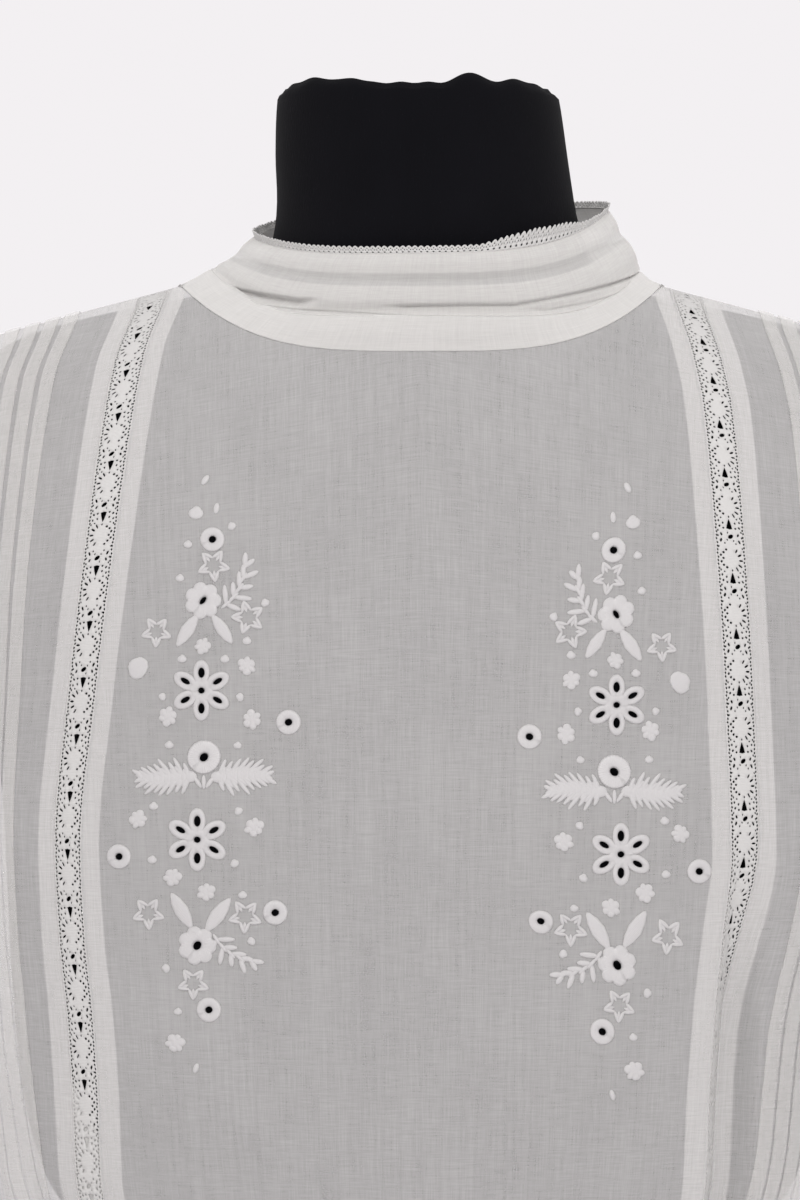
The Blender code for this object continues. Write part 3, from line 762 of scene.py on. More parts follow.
# %% Chart of one spray
# kind, across, up, size or length, turn in degrees
SPRAY = (
    ("seed", 0.5, 110, 2.3, 55),
    ("dot", -3, 97, 3.4, 0),
    ("seed", 5, 99, 2.2, 80),
    ("dot", 11, 92, 2.0, 40),
    ("eyelet", 3.5, 87, 4.8, 0),
    ("dot", -6, 85, 2.0, 0),
    ("star", 4, 77, 6.4, -30),
    ("dot", -9, 72, 2.0, 0),
    ("scallop", 0, 63.5, 7.3, 0),
    ("fern", 9, 62, 20, 48),
    ("star", 17.5, 57, 6.6, -56),
    ("dot", 24, 62.5, 2.0, 30),
    ("leaf", -6, 52, 13.5, 57),
    ("leaf", 7.5, 52.5, 12.5, -55),
    ("star", -18, 51.5, 6.0, -38),
    ("blossom", 0, 46, 3.6, 0),
    ("dot", 17, 48, 2.1, 0),
    ("blob", -25, 37.5, 4.6, 60),
    ("dot", -8, 41, 2.1, 0),
    ("dot", 8.5, 41, 2.1, 0),
    ("blossom", 17, 38.5, 4.0, 20),
    ("flower", -0.5, 29, 12.0, 0),
    ("dot", -15.5, 26.5, 1.9, 90),
    ("dot", 14.5, 26.5, 2.0, 90),
    ("blossom", -13.5, 19, 4.2, 10),
    ("blossom", 19, 18, 4.2, 30),
    ("eyelet", 33, 17, 4.8, 0),
    ("dot", -13, 8, 2.0, 0),
    ("dot", 13.5, 8, 1.9, 0),
    ("ring", 0.5, 3.5, 6.7, 0),
    ("stems", 0.5, -6, 6.0, 0),
    ("feather", -5, -4, 22, 180),
    ("feather", 6, -4, 22, 0),
    ("blossom", -25, -20.5, 4.0, 0),
    ("dot", -19, -15.5, 2.1, 0),
    ("dot", 14, -17, 2.0, 45),
    ("blossom", 20, -23, 4.2, 15),
    ("flower", -2, -28, 12.4, 0),
    ("eyelet", -32.5, -35, 4.8, 0),
    ("dot", -19.5, -36, 2.1, 0),
    ("dot", 12.5, -37, 2.1, 30),
    ("blossom", -11.5, -42.5, 4.0, 0),
    ("blossom", 1.5, -48, 4.0, 20),
    ("leaf", -8.1, -55.2, 14.4, -59),
    ("leaf", 6.0, -56.7, 14.8, 54),
    ("star", -21, -56.5, 6.4, -33),
    ("star", 16.5, -57, 6.6, -39),
    ("dot", 15.5, -49, 2.0, 0),
    ("dot", 19, -66.5, 2.0, 120),
    ("eyelet", 28, -55.5, 4.8, 0),
    ("scallop", -2, -68.5, 7.6, 0),
    ("fern", 5.5, -66, 19, -47),
    ("dot", -14, -77.5, 2.1, 100),
    ("star", -3.5, -83, 6.2, -36),
    ("eyelet", 2.5, -93, 4.8, 0),
    ("dot", -9.5, -94, 1.9, 0),
    ("blossom", -10.5, -106, 4.2, 0),
    ("seed", -2.5, -115.5, 2.1, 70),
)
SPRAY_LEFT = (-0.0840, 0.6003)
SPRAY_RIGHT = (0.0740, 0.5948)
PETALS = (90, 30, -30, -90, -150, 150)


def spray_place(across, up, right):
    """Millimetres in the chart to metres on the front."""
    middle = SPRAY_RIGHT if right else SPRAY_LEFT
    if right:
        above, below = np.maximum(up - 60, 0), np.maximum(-40 - up, 0)
        tilted = 0.12 * across * np.minimum(below / 16, 1) - 0.055 * below
        sideways = 0.115 * above - 0.05 * below - across
        return middle[0] + 0.001 * sideways, middle[1] + 0.001 * (up + 0.05 * above + tilted)
    return middle[0] + 0.001 * across, middle[1] + 0.001 * up


def turned(across, up, along, over, turn):
    """A shape's own lengthwise and sideways places, turned and set down in the chart."""
    lean = math.radians(turn)
    x = across + along * math.cos(lean) - over * math.sin(lean)
    return x, up + along * math.sin(lean) + over * math.cos(lean)


def reach_from(across, up, distance, turn):
    """The place this far from another, in the direction of the turn."""
    lean = math.radians(turn)
    return across + distance * math.cos(lean), up + distance * math.sin(lean)


def oval(across, up, length, width, turn, corners):
    """Points of an oval hole, in chart millimetres."""
    t = np.linspace(0, 2 * np.pi, corners, endpoint=False)
    return np.stack(turned(across, up, length * np.cos(t), width * np.sin(t), turn), 1)


def holes_of(kind, across, up, size):
    """The cut holes of one motif: across, up, half length, half width, turn."""
    if kind == "eyelet":
        return [(across, up, size * 0.30, size * 0.27, 20)]
    if kind == "scallop":
        return [(across, up, size * 0.24, size * (0.12 if up > 0 else 0.19), 50)]
    if kind == "ring":
        return [(across, up, size * 0.27, size * 0.22, 40)]
    if kind == "flower":
        found = [(across, up, size * 0.105, size * 0.095, 0)]
        for turn in PETALS:
            # the two upright petals sit closer in and have the wider holes
            reach, wide = (0.57, 0.105) if abs(turn) == 90 else (0.60, 0.08)
            place = reach_from(across, up, size * reach, turn)
            found.append((*place, size * 0.165, size * wide, turn))
        return found
    return []


HOLES = [hole for kind, across, up, size, _ in SPRAY for hole in holes_of(kind, across, up, size)]
print("holes in one spray:", len(HOLES))

# %% [markdown]
# ## The front panel
#
# One piece from lace to lace, with 44 holes in it. A Boolean with 44 cutters is slow and leaves
# ragged faces, so the outline, the hole edges and a grid of inner points are joined into triangles
# in the flat, and only then laid on the body. Blender's own Delaunay triangulation does that.

# %% Triangles in the flat
FLAT = np.array([HALF_WIDTH, RISE_LENGTH])


def grid_of(across, along):
    return np.stack(np.meshgrid(across, along), -1).reshape(-1, 2)


def triangulate(outline, holes, inner):
    """Triangles inside the outline and outside the holes: points and faces."""
    rings = [outline, *holes]
    points = np.concatenate([*rings, inner])
    edges, start = [], 0
    for ring in rings:
        count = len(ring)
        edges += [(start + k, start + (k + 1) % count) for k in range(count)]
        start += count
    found = delaunay_2d_cdt(points.tolist(), edges, [], 1, 1e-7)
    places = np.array([(p[0], p[1]) for p in found[0]])
    faces = np.array(found[2])
    centres = places[faces].mean(axis=1)
    keep = np.ones(len(faces), bool)
    for hole in holes:
        keep &= ~inside(centres, hole)
    return places, faces[keep]


def middle_and_reach(ring):
    middle = ring.mean(0)
    return middle, np.linalg.norm(ring - middle, axis=1).max()


def inside(points, ring):
    """Which points lie inside a convex ring."""
    after = np.roll(ring, -1, axis=0)
    turn = np.sign(np.sum(ring[:, 0] * after[:, 1] - after[:, 0] * ring[:, 1]))
    middle, reach = middle_and_reach(ring)
    result = np.linalg.norm(points - middle, axis=1) < 2 * reach
    for a, b in zip(ring, after):
        side = (b[0] - a[0]) * (points[:, 1] - a[1]) - (b[1] - a[1]) * (points[:, 0] - a[0])
        result &= side * turn >= 0
    return result


def flat_of(across, height):
    rise = rise_at(across, height)
    return np.stack([angle_at(across, rise), rise], -1) * FLAT


def clear_of(points, rings, gap):
    """The points that keep this far from every ring's points."""
    keep = np.ones(len(points), bool)
    for ring in rings:
        middle, reach = middle_and_reach(ring)
        near = np.where(np.linalg.norm(points - middle, axis=1) < reach + gap)[0]
        if len(near):
            away = np.linalg.norm(points[near][:, None] - ring[None], axis=2).min(axis=1)
            keep[near] &= (away > gap) & ~inside(points[near], ring)
    return points[keep]

# %% [markdown]
# The front panel is cut in the flat with its eyelets, as cloth is cut on a table, and then every
# point is carried onto the body. Edges and holes stay crisp that way, and the weave keeps its
# direction.

# %% Cut and lay the front panel
CLOTH_STEP = 0.0024


def front_outline():
    gap = -EDGE_LAP / HALF_WIDTH
    rows = ROWS[::2]
    left = np.stack([lace_edge(rows, False) + gap, rows], -1)
    right = np.stack([lace_edge(rows, True) - gap, rows], -1)[::-1]
    bottom = np.linspace(left[-1, 0], right[0, 0], 130)[1:-1]
    bottom = np.stack([bottom, np.full(len(bottom), rows[-1])], -1)
    across = np.linspace(NECK_HALF, -NECK_HALF, 110)
    rise = top_rise(across, False)
    neck = np.stack([angle_at(across, rise), rise], -1)
    return np.concatenate([left, bottom, right, neck]) * FLAT


def cut_front():
    outline = front_outline()
    holes = []
    for right in (False, True):
        for across, up, length, width, turn in HOLES:
            ring = oval(across, up, length, width, turn, 14)
            holes.append(flat_of(*spray_place(ring[:, 0], ring[:, 1], right)))
    low, high = outline.min(0), outline.max(0)
    grid = grid_of(*(np.arange(low[axis], high[axis], CLOTH_STEP) for axis in range(2)))
    angle, rise = (grid / FLAT).T
    margin = 0.0012 / HALF_WIDTH
    kept = (angle > lace_edge(rise, False) + margin) & (angle < lace_edge(rise, True) - margin)
    kept &= rise < top_rise(body_point(angle, rise, False)[:, 0], False) - margin
    kept &= (rise > LOW_RISE + margin) & (rise < np.pi / 2 - margin)
    return triangulate(outline, holes, clear_of(grid[kept], holes, 0.0007))


flat_points, front_faces = cut_front()
front_points, front_normals = on_body(*(flat_points / FLAT).T)
front = new_piece(
    "front_panel", front_points, front_faces, flat_points, front_normals, lawn, LAWN_THICK
)
finish_piece(front, "lawn", "front_centre")

# %% [markdown]
# ## Lace insertion
#
# A bobbin lace of one small repeat, 20 mm long: a pointed hole, a spider with slits round it and a
# round hole, between two edges of tiny holes. One repeat is cut in the flat from its own chart and
# copied down each strip. The holes are real, so the black form shows through them.

# %% Chart of the lace
LACE_THICK = 0.00030
LACE_BEHIND = 0.00036
SEWN_WITHIN = 0.00002
# the repeats are a little closer together near the shoulder
FIRST_REPEAT = 0.0193
LAST_REPEAT = 0.0218
# across, along, half length, half width, turn in degrees, corners; in millimetres, and along is
# from the repeat's start
LACE_HOLES = (
    (0.3, 3.2, 1.30, 0.78, 28, 9),
    (-0.9, 4.6, 0.50, 0.30, 80, 5),
    (1.5, 1.7, 0.46, 0.32, 60, 5),
    (-1.2, 1.9, 0.46, 0.32, 120, 5),
    (-2.5, 6.3, 0.52, 0.40, 0, 6),
    (2.6, 6.4, 0.50, 0.40, 0, 6),
    (-4.1, 6.9, 0.58, 0.44, 40, 6),
    (4.2, 6.7, 0.62, 0.42, 140, 6),
    (-2.6, 8.2, 0.50, 0.40, 60, 6),
    (2.5, 8.4, 0.52, 0.38, 120, 6),
    (-4.4, 8.9, 0.50, 0.42, 60, 6),
    (4.4, 8.8, 0.50, 0.40, 110, 6),
    (-3.9, 1.6, 0.85, 0.52, 60, 6),
    (3.9, 1.4, 0.90, 0.46, 120, 6),
    (-3.6, 3.9, 0.72, 0.48, 120, 6),
    (3.5, 3.9, 0.74, 0.44, 60, 6),
    (-2.3, 0.6, 0.42, 0.34, 90, 6),
    (2.4, 0.6, 0.40, 0.34, 90, 6),
    (0.1, 10.7, 0.45, 0.36, 90, 6),
    (-4.9, 5.2, 0.50, 0.38, 60, 5),
    (4.9, 5.1, 0.50, 0.38, 120, 5),
    (-3.3, 10.1, 0.44, 0.34, 0, 5),
    (3.4, 10.0, 0.46, 0.34, 0, 5),
    (-4.8, 10.7, 0.50, 0.38, 100, 5),
    (4.9, 10.5, 0.50, 0.38, 80, 5),
    (-5.0, 3.2, 0.48, 0.34, 90, 5),
    (5.0, 3.0, 0.48, 0.34, 90, 5),
    (-5.0, 19.2, 0.46, 0.34, 60, 5),
    (5.0, 19.0, 0.46, 0.34, 120, 5),
)
# one side of the pointed hole, from the middle of its wide end to its point
POINTED_HALF = ((1.35, 6.15), (1.00, 7.40), (0.52, 8.85))
# the slits round the spider: radial on the right, small diamonds on the left
SPIDER_HOLES = (
    (2.2, 11.3, 1.05, 0.38, -57, 6),
    (3.6, 12.5, 1.10, 0.42, -30, 6),
    (4.1, 14.5, 1.00, 0.40, 0, 6),
    (3.6, 16.4, 1.05, 0.42, 28, 6),
    (2.3, 17.9, 0.95, 0.38, 54, 6),
    (-2.1, 11.7, 0.64, 0.50, 0, 5),
    (-3.4, 12.5, 0.60, 0.50, 20, 5),
    (-4.3, 13.7, 0.62, 0.50, 40, 5),
    (-3.4, 15.0, 0.60, 0.46, 0, 5),
    (-4.4, 16.1, 0.62, 0.50, 30, 5),
    (-3.2, 17.1, 0.62, 0.50, 10, 5),
    (-2.0, 18.2, 0.60, 0.46, 0, 5),
)
EDGE_HOLES = 15


def lace_holes():
    found = [oval(*hole) for hole in LACE_HOLES + SPIDER_HOLES]
    mirrored = [(-across, along) for across, along in POINTED_HALF]
    found.append(np.array([mirrored[0], (0.0, 5.85), *POINTED_HALF, (0.0, 10.0), *mirrored[:0:-1]]))
    pitch = 20 / EDGE_HOLES
    for number in range(EDGE_HOLES):
        along = (number + 0.5) * pitch
        for side in (-1, 1):
            uneven = 0.14 * math.sin(4.0 * number + 2 * side)
            found.append(oval(side * (5.62 + uneven), along + uneven / 2, 0.50, 0.42, 60 * side, 6))
    return [ring * 0.001 for ring in found]


def lace_repeat():
    """One repeat in the flat, cut so that its ends fit the next one."""
    edge = 0.0001
    half, length = LACE_WIDTH / 2 - edge, 0.020
    sides = np.linspace(0, length, 12)
    ends = np.linspace(-half, half, 9)[1:-1]
    outline = np.concatenate(
        [
            np.stack([np.full(12, -half), sides], -1),
            np.stack([ends, np.full(7, length)], -1),
            np.stack([np.full(12, half), sides[::-1]], -1),
            np.stack([ends[::-1], np.zeros(7)], -1),
        ]
    )
    rings = [
        ring
        for ring in lace_holes()
        if edge < ring[:, 1].min() and ring[:, 1].max() < length - edge
    ]
    step = 0.0018
    grid = grid_of(np.arange(-half, half, step), np.arange(step / 2, length, step))
    grid = grid[np.abs(grid[:, 0]) < half - 0.0004]
    points, faces = triangulate(outline, rings, clear_of(grid, rings, 0.0003))
    return points / (1, length), faces


def lace_piece(name, points, faces, flat, normals, node):
    """The repeats sewn together where they touch, then made thick."""
    made = new_piece(name, points, faces, flat, normals, lace_thread)
    edit_all(made, bpy.ops.mesh.remove_doubles, threshold=SEWN_WITHIN)
    thicken(made, LACE_THICK)
    made.data.shade_smooth()
    finish_piece(made, "lace", node)


def copies(faces, corners, count):
    """The faces of one repeat, numbered on for each copy of its points."""
    return np.concatenate([faces + number * corners for number in range(count)])


repeat_points, repeat_faces = lace_repeat()
print("one lace repeat:", len(repeat_faces), "triangles")

# %% [markdown]
# The repeats follow each other down the strip, closer together at the shoulder where the lace in
# the photograph is drawn in. The right strip was sewn in the other way up.

# %% Lay the lace
def lay_lace(right):
    """The repeats one after another, from the shoulder to the waist."""
    strip = strips[right]
    total = strip.lengths[-1]
    count = int(round(total / (0.25 * FIRST_REPEAT + 0.75 * LAST_REPEAT)))
    pitches = FIRST_REPEAT + (LAST_REPEAT - FIRST_REPEAT) * smooth(np.arange(count) / 11)
    starts = np.concatenate([[0.0], np.cumsum(pitches)]) * total / pitches.sum()
    along = 1 - repeat_points[:, 1] if right else repeat_points[:, 1]
    across = repeat_points[:, 0] + LACE_WIDTH / 2
    spans = zip(starts, starts[1:])
    places = np.concatenate(
        [np.stack([across, begin + along * (end - begin)], -1) for begin, end in spans]
    )
    faces = copies(repeat_faces, len(repeat_points), count)
    outer, normals = strip.at(places[:, 0], strip.rise_after(places[:, 1]), -LACE_BEHIND)
    hand = HAND[right]
    lace_piece("lace_insertion_" + hand, outer, faces, places, normals, "lace_" + hand)


for right in (False, True):
    lay_lace(right)

# %% [markdown]
# ## Side fronts, turned-back bands and tucks
#
# Beside the lace the cloth is turned back on itself, which makes a white band. Further out it is
# pinched into tucks, so three layers lie on each other. Each extra layer here is its own strip: the
# bands under the panel, the tucks on top of it with a soft edge.

# %% Strips along the front
def by_row(value):
    """One number, or one for each row, as a column of the strip's grid."""
    return np.broadcast_to(value, ROWS.shape)[:, None]


def lay_strip(name, right, begin, end, raised, columns, material, thickness, curl=0.0):
    """A strip between two distances from the lace's edge, from shoulder to waist."""
    strip = strips[right]
    first, last = by_row(begin), by_row(end)
    share = np.linspace(0, 1, columns)[None]
    distance = first + (last - first) * share
    lift = by_row(raised) + curl * np.sin(np.pi * share)
    rise = np.broadcast_to(by_row(ROWS), distance.shape)
    outer, normals = strip.at(distance, rise, lift)
    flat = np.stack([distance, np.interp(-rise, -ROWS, strip.lengths)], -1)
    return new_piece(name, outer, grid_faces(*distance.shape), flat, normals, material, thickness)


def join_pieces(name, made):
    select_only(made[0])
    for other in made[1:]:
        other.select_set(True)
    bpy.ops.object.join()
    made[0].name = name
    made[0].data.name = name
    return made[0]


# the gap to the layer below, and from a strip's edge to the lace
LAYER_GAP = 0.00012
EDGE_GAP = 0.0001
TUCK_RAISED = 0.00062
TUCK_CURL = 0.00025
# height where the cloth behind the lace begins to show, and where it is all there: left, right
BEHIND_LACE = {False: (0.481, 0.452), True: (0.510, 0.470)}
BEHIND_SUNK = 0.0004


def lay_side(right):
    """One side front: the panel, its turned-back bands and its four tucks."""
    hand = HAND[right]
    wide = strips[right].full_width(ROWS)
    panel = lay_strip(
        "side_panel_" + hand, right, LACE_WIDTH - EDGE_LAP, wide, 0.0, 100, lawn, LAWN_THICK
    )
    finish_piece(panel, "lawn", "side_front_" + hand)
    heights = strips[right].at(LACE_WIDTH / 2, ROWS)[0][:, 2]
    begins, whole = BEHIND_LACE[right]
    share = smooth((begins - heights) / (begins - whole))
    width = BAND_WIDTH + BAND_WIDER * smooth((0.66 - heights) / 0.22)
    under = -LAWN_THICK - LAYER_GAP
    behind = LACE_WIDTH + EDGE_GAP - LACE_WIDTH * share
    layer = (lawn_layer, LAYER_THICK)
    outer = LACE_WIDTH + width
    bands = [
        lay_strip("band", right, -width, -EDGE_GAP, under, 9, *layer),
        lay_strip("band", right, behind, outer, under - BEHIND_SUNK * share, 17, *layer),
    ]
    finish_piece(join_pieces("turned_back_bands_" + hand, bands), "doubled_lawn")
    first = LACE_WIDTH + BAND_WIDTH + BAND_WIDER + plain_width(ROWS, right)
    wide = TUCK_PITCH - 0.0014 - 0.0008 * smooth((heights - 0.60) / 0.12)
    pinched = (TUCK_RAISED, 9, lawn_tuck, TUCK_THICK, TUCK_CURL)
    begins = [first + number * TUCK_PITCH for number in range(TUCKS)]
    tucks = [lay_strip("tuck", right, begin, begin + wide, *pinched) for begin in begins]
    finish_piece(join_pieces("tucks_" + hand, tucks), "doubled_lawn")


for right in (False, True):
    lay_side(right)

# %% [markdown]
# ## Backs
#
# The back opens down the middle, with the left half lapped over the right and small buttons. The
# laps are turned in, so they show as a second layer.

# %% Lay the backs
LAP = 0.009
LAP_RISE = 0.0017
BACK_ROUND = 0.19


def lay_back(right):
    """One half of the back, from its side seam to the lap at the middle."""
    side = 1.0 if right else -1.0
    rows, columns = 240, 110
    share = np.linspace(0, 1, columns)[None]
    lift = 0.0 if right else LAP_RISE
    # the top of each column follows the neckline or the shoulder seam
    top_angle = side * edge_angle(np.array(SHOULDER_RISE)) * (1 - share[0])
    across_top = across_at(top_angle, SHOULDER_RISE)
    across_top[-1] = -side * LAP
    top = top_rise(across_top, True)
    down = np.linspace(0, 1, rows)[:, None]
    cap = top * (1 - down * 2)
    rise = np.where(down <= 0.5, cap, LOW_RISE * (down - 0.5) * 2)
    outer_angle = side * edge_angle(rise)
    inner_angle = angle_at(-side * LAP, rise)
    angle = outer_angle + (inner_angle - outer_angle) * share
    point = body_point(angle, rise, True)
    near = smooth((2.2 * LAP - point[..., 0] * side) / (0.95 * LAP))
    outer, normals = on_body(angle, rise, True, lift * near)
    flat = np.stack([angle * BACK_ROUND, rise * RISE_LENGTH], -1)
    name = "back_panel_" + HAND[right]
    made = new_piece(name, outer, grid_faces(rows, columns), flat, normals, lawn, LAWN_THICK)
    finish_piece(made, "lawn", "back_" + HAND[right])


for right in (False, True):
    lay_back(right)

# %% [markdown]
# ## Neckband and collar
#
# The collar is a soft standing one that has slumped, so it settles in level creases. It is a tube
# of a few rings, each with its own height in front, at the sides and behind. The creases are soft
# troughs placed where the cloth has sunk.

# %% Rings round the neck
NECK_ROUND = 0.085
RING_SLIT = math.radians(0.45)
turns = np.linspace(-math.pi + RING_SLIT, math.pi - RING_SLIT, 481)

# each crease: how deep, how far it reaches up and down, then its turns in degrees and heights
CREASES = (
    (
        0.0018,
        0.0007,
        ((-5, 0.7779), (8, 0.7783), (24, 0.7787), (45, 0.7841), (66, 0.7900), (90, 0.7962)),
    ),
    (0.0012, 0.0007, ((-90, 0.7885), (-76, 0.7868), (-60, 0.7810), (-35, 0.7769), (3, 0.7733))),
    (0.0030, 0.0014, ((-110, 0.7990), (-86, 0.7944), (-60, 0.7852), (-38, 0.7806))),
    (0.0010, 0.0009, ((34, 0.7768), (52, 0.7812), (74, 0.7880), (90, 0.7925))),
    (0.0012, 0.0012, ((100, 0.7990), (140, 0.7930), (170, 0.7905))),
    (0.0012, 0.0012, ((-175, 0.7970), (-150, 0.7990), (-125, 0.8010))),
)
CREASE_END = 9.0


def ring_of(section, turn):
    half_width, front_depth, back_depth, at_front, at_side, at_back, lift, shift, curve = section
    ahead = np.abs(turn) <= np.pi / 2
    side = np.sin(turn)
    depth = -np.where(ahead, front_depth, back_depth) * np.cos(turn)
    middle = np.where(ahead, at_front, at_back)
    height = middle + (at_side - middle) * np.abs(side) ** curve + lift * side**3
    return np.stack([half_width * side + shift, depth, height], -1)

# %% [markdown]
# Two functions shape the plain rings of the slumped collar. One evens their heights out towards the
# rim. The other presses the creases in, which are troughs along a drawn line that fade out at both
# ends. After that, any stack of rings can be made into a sheet.

# %% Rim, creases and sheets through rings
def rolled(heights):
    """The heights evened out along each ring, more towards the rim, so that its ends are round."""
    reach = np.arange(-75, 76)
    weights = np.exp(-((reach / 30) ** 2))
    moved = (np.roll(heights, step, axis=1) * weight for step, weight in zip(reach, weights))
    evened = sum(moved) / weights.sum()
    share = smooth(np.linspace(0, 1.3, len(heights)))[:, None]
    return heights + (evened - heights) * share


def creased(rings):
    """The rings with their cloth drawn in along each crease."""
    points = np.array(rings)
    degrees = np.degrees(turns)
    inwards = np.zeros(points.shape[:2])
    for deep, reach, line in CREASES:
        at, heights = np.array(line).T
        shown = smooth((degrees - at[0]) / CREASE_END + 1)
        shown = shown * smooth((at[-1] - degrees) / CREASE_END + 1)
        away = points[..., 2] - np.interp(degrees, at, heights)
        # steep above, where the upper cloth hangs over, and slow below
        away = np.where(away > 0, away * 1.5, away * 0.8)
        inwards += deep * shown * np.exp(-((away / reach) ** 2))
    towards = unit(points * (1, 1, 0))
    return points - towards * inwards[..., None]


def between(sections, count):
    """More rings between the given ones, on a smooth curve through each column."""
    table = [(number, *section) for number, section in enumerate(sections)]
    read = curve_through(table)
    steps = np.linspace(0, len(sections) - 1, count)
    return [[read(np.array(step), column) for column in range(len(sections[0]))] for step in steps]


def through_rings(name, rings, flat_round, taped, joined, material, thickness, slot, *nodes):
    """A sheet through rings, facing outwards; the taped column gives its flat height."""
    points = np.array(rings)
    outwards = points - points.mean(axis=1, keepdims=True)
    reach = tape(points[:, taped])
    flat = np.stack(np.broadcast_arrays(flat_round[None], reach[:, None]), -1)
    faces = grid_faces(*points.shape[:2], joined)
    made = new_piece(name, points, faces, flat, outwards, material, thickness)
    finish_piece(made, slot, *nodes)
    return made


def wall_of(name, rings, material, thickness, slot, *nodes):
    """A sheet round the body that stays open by a hair at the centre back."""
    look = (material, thickness, slot)
    return through_rings(name, rings, turns * NECK_ROUND, len(turns) // 2, False, *look, *nodes)


def seam_line(turn, below=0.0, raised=0.0, outside=0.0):
    """The neckline's edge, or a line this far below it, outside it and off the cloth."""
    across = (NECK_HALF + outside) * np.sin(turn)
    ahead = np.abs(turn) <= np.pi / 2
    front_rise, back_rise = top_rise(across, False) - below, top_rise(across, True) - below
    before = on_body(angle_at(across, front_rise), front_rise, False, raised)[0]
    behind = on_body(angle_at(across, back_rise), back_rise, True, raised)[0]
    return np.where(ahead[:, None], before, behind)


def inner_ring(ring, inside, up):
    """The ring drawn in towards the neck and lifted."""
    return ring - unit(ring * (1, 1, 0)) * inside + (0, 0, up)

# %% [markdown]
# The neckband is folded lawn, and the collar above it is one layer with a turned-in hem at the rim
# and a lower facing. Between those two it stays single, so a greyer band runs round it, as in the
# photograph.

# %% Lay the neckband and the collar
COLLAR_RINGS = 73
seam = seam_line(turns, 0.0, 0.0004)
lapped = seam_line(turns, 0.0050, 0.0004, 0.0012)
band_low, band_high = (ring_of(section, turns) for section in BAND_SECTIONS)
band_rings = [lapped, seam, *(seam + (band_low - seam) * s for s in (0.5, 1.0))]
band_rings += [band_low + (band_high - band_low) * s for s in (0.35, 0.7, 1.0)]
band_rings.append(inner_ring(band_high, 0.0028, 0.0010))
wall_of("neck_band", band_rings, lawn_folded, NECK_BAND_THICK, "doubled_lawn", "neckband")
collar_sections = between(COLLAR_SECTIONS, COLLAR_RINGS)
collar_rings = np.array([ring_of(section, turns) for section in collar_sections])
collar_rings[..., 2] = rolled(collar_rings[..., 2])
collar_rings = creased(collar_rings)
wall_of("standing_collar", collar_rings, lawn_collar, LAWN_THICK, "lawn", "collar")

# rows of the collar that the turned-in hem and the lower facing cover; between them it is single
FACING_ROWS = (0, 39)
HEM_ROWS = (53, 73)
LINING_INSIDE = 0.00045
linings = []
for first, last in (FACING_ROWS, HEM_ROWS):
    rings = np.array([inner_ring(ring, LINING_INSIDE, 0.0) for ring in collar_rings[first:last]])
    linings.append(wall_of("layer", rings, lawn_layer, LAWN_THICK, "doubled_lawn"))
join_pieces("collar_hem_and_facing", linings)

# %% [markdown]
# The rim carries a narrow picot lace. It leans outwards and stands up higher at the right, as in
# the photograph. One scallop is cut in the flat with its holes and repeated round the rim.

# %% Collar lace
PICOT = 0.0024
PICOT_HIGH = 0.003
# turns in degrees, and the height of the lace there in millimetres
EDGING_TURNS = (-180, -60, 15, 24, 34, 47, 56, 70, 180)
EDGING_HEIGHTS = (3.0, 3.2, 3.0, 5.6, 7.2, 6.4, 3.8, 3.0, 3.0)
# across, up, half length, half width, turn in degrees
PICOT_HOLES = (
    (1.2, 0.72, 0.46, 0.26, 0),
    (0.50, 1.55, 0.24, 0.22, 30),
    (1.90, 1.55, 0.24, 0.22, -30),
    (1.2, 2.15, 0.26, 0.24, 0),
)


def picot_repeat():
    """One scallop, 2.4 mm wide and 3 mm high."""
    across = np.linspace(0, 2.4, 9)
    top = np.stack([across, 2.30 + 0.80 * np.sin(np.pi * across / 2.4)], -1)[::-1]
    side = np.linspace(0.6, 1.9, 3)
    outline = np.concatenate(
        [
            np.stack([np.linspace(0, 2.4, 5), np.zeros(5)], -1),
            np.stack([np.full(3, 2.4), side], -1),
            top,
            np.stack([np.zeros(3), side[::-1]], -1),
        ]
    )
    holes = [oval(*hole, 7) * 0.001 for hole in PICOT_HOLES]
    return triangulate(outline * 0.001, holes, np.zeros((0, 2)))


def lay_edging():
    rim, below_rim = collar_rings[-1], collar_rings[-3]
    foot = inner_ring(rim, 0.0005, 0.0) - unit(rim - below_rim) * 0.0007
    walked = tape(foot)
    count = int(round(walked[-1] / PICOT))
    unit_points, unit_faces = picot_repeat()
    places = np.concatenate([unit_points + (number * PICOT, 0) for number in range(count)])
    faces = copies(unit_faces, len(unit_points), count)
    turn = np.interp(places[:, 0] * walked[-1] / (count * PICOT), walked, turns)
    up = places[:, 1] / PICOT_HIGH
    tall = np.interp(np.degrees(turn), EDGING_TURNS, EDGING_HEIGHTS) * 0.001
    base = np.stack([np.interp(turn, turns, foot[:, axis]) for axis in range(3)], -1)
    outwards = unit(base * (1, 1, 0))
    flare = 0.0008 * up + (tall - PICOT_HIGH) * 0.35 * up**2
    wave = 0.00035 * np.sin(turn * 37) * up
    points = base + outwards * (flare + wave)[:, None] + np.stack([0 * up, 0 * up, tall * up], -1)
    lace_piece("collar_lace", points, faces, places, outwards, "collar_edging")


lay_edging()

# %% [markdown]
# ## Waistband, sleeves and cuffs

# %% Waistband
BAND_HEIGHT = 0.024


def lay_waistband():
    half_width, front_depth, back_depth = (body(WAIST, column) for column in range(3))
    depth = np.where(np.abs(turns) <= np.pi / 2, front_depth, back_depth)
    ring = np.stack([half_width * np.sin(turns), -depth * np.cos(turns), 0 * turns], -1)
    heights = np.linspace(WAIST - BAND_HEIGHT, WAIST - SEAM_GAP, 13)
    rings = [ring + (0, 0, height) for height in heights]
    wall_of("waist_band", rings, lawn_folded, FOLDED_THICK, "doubled_lawn", "waistband")


lay_waistband()

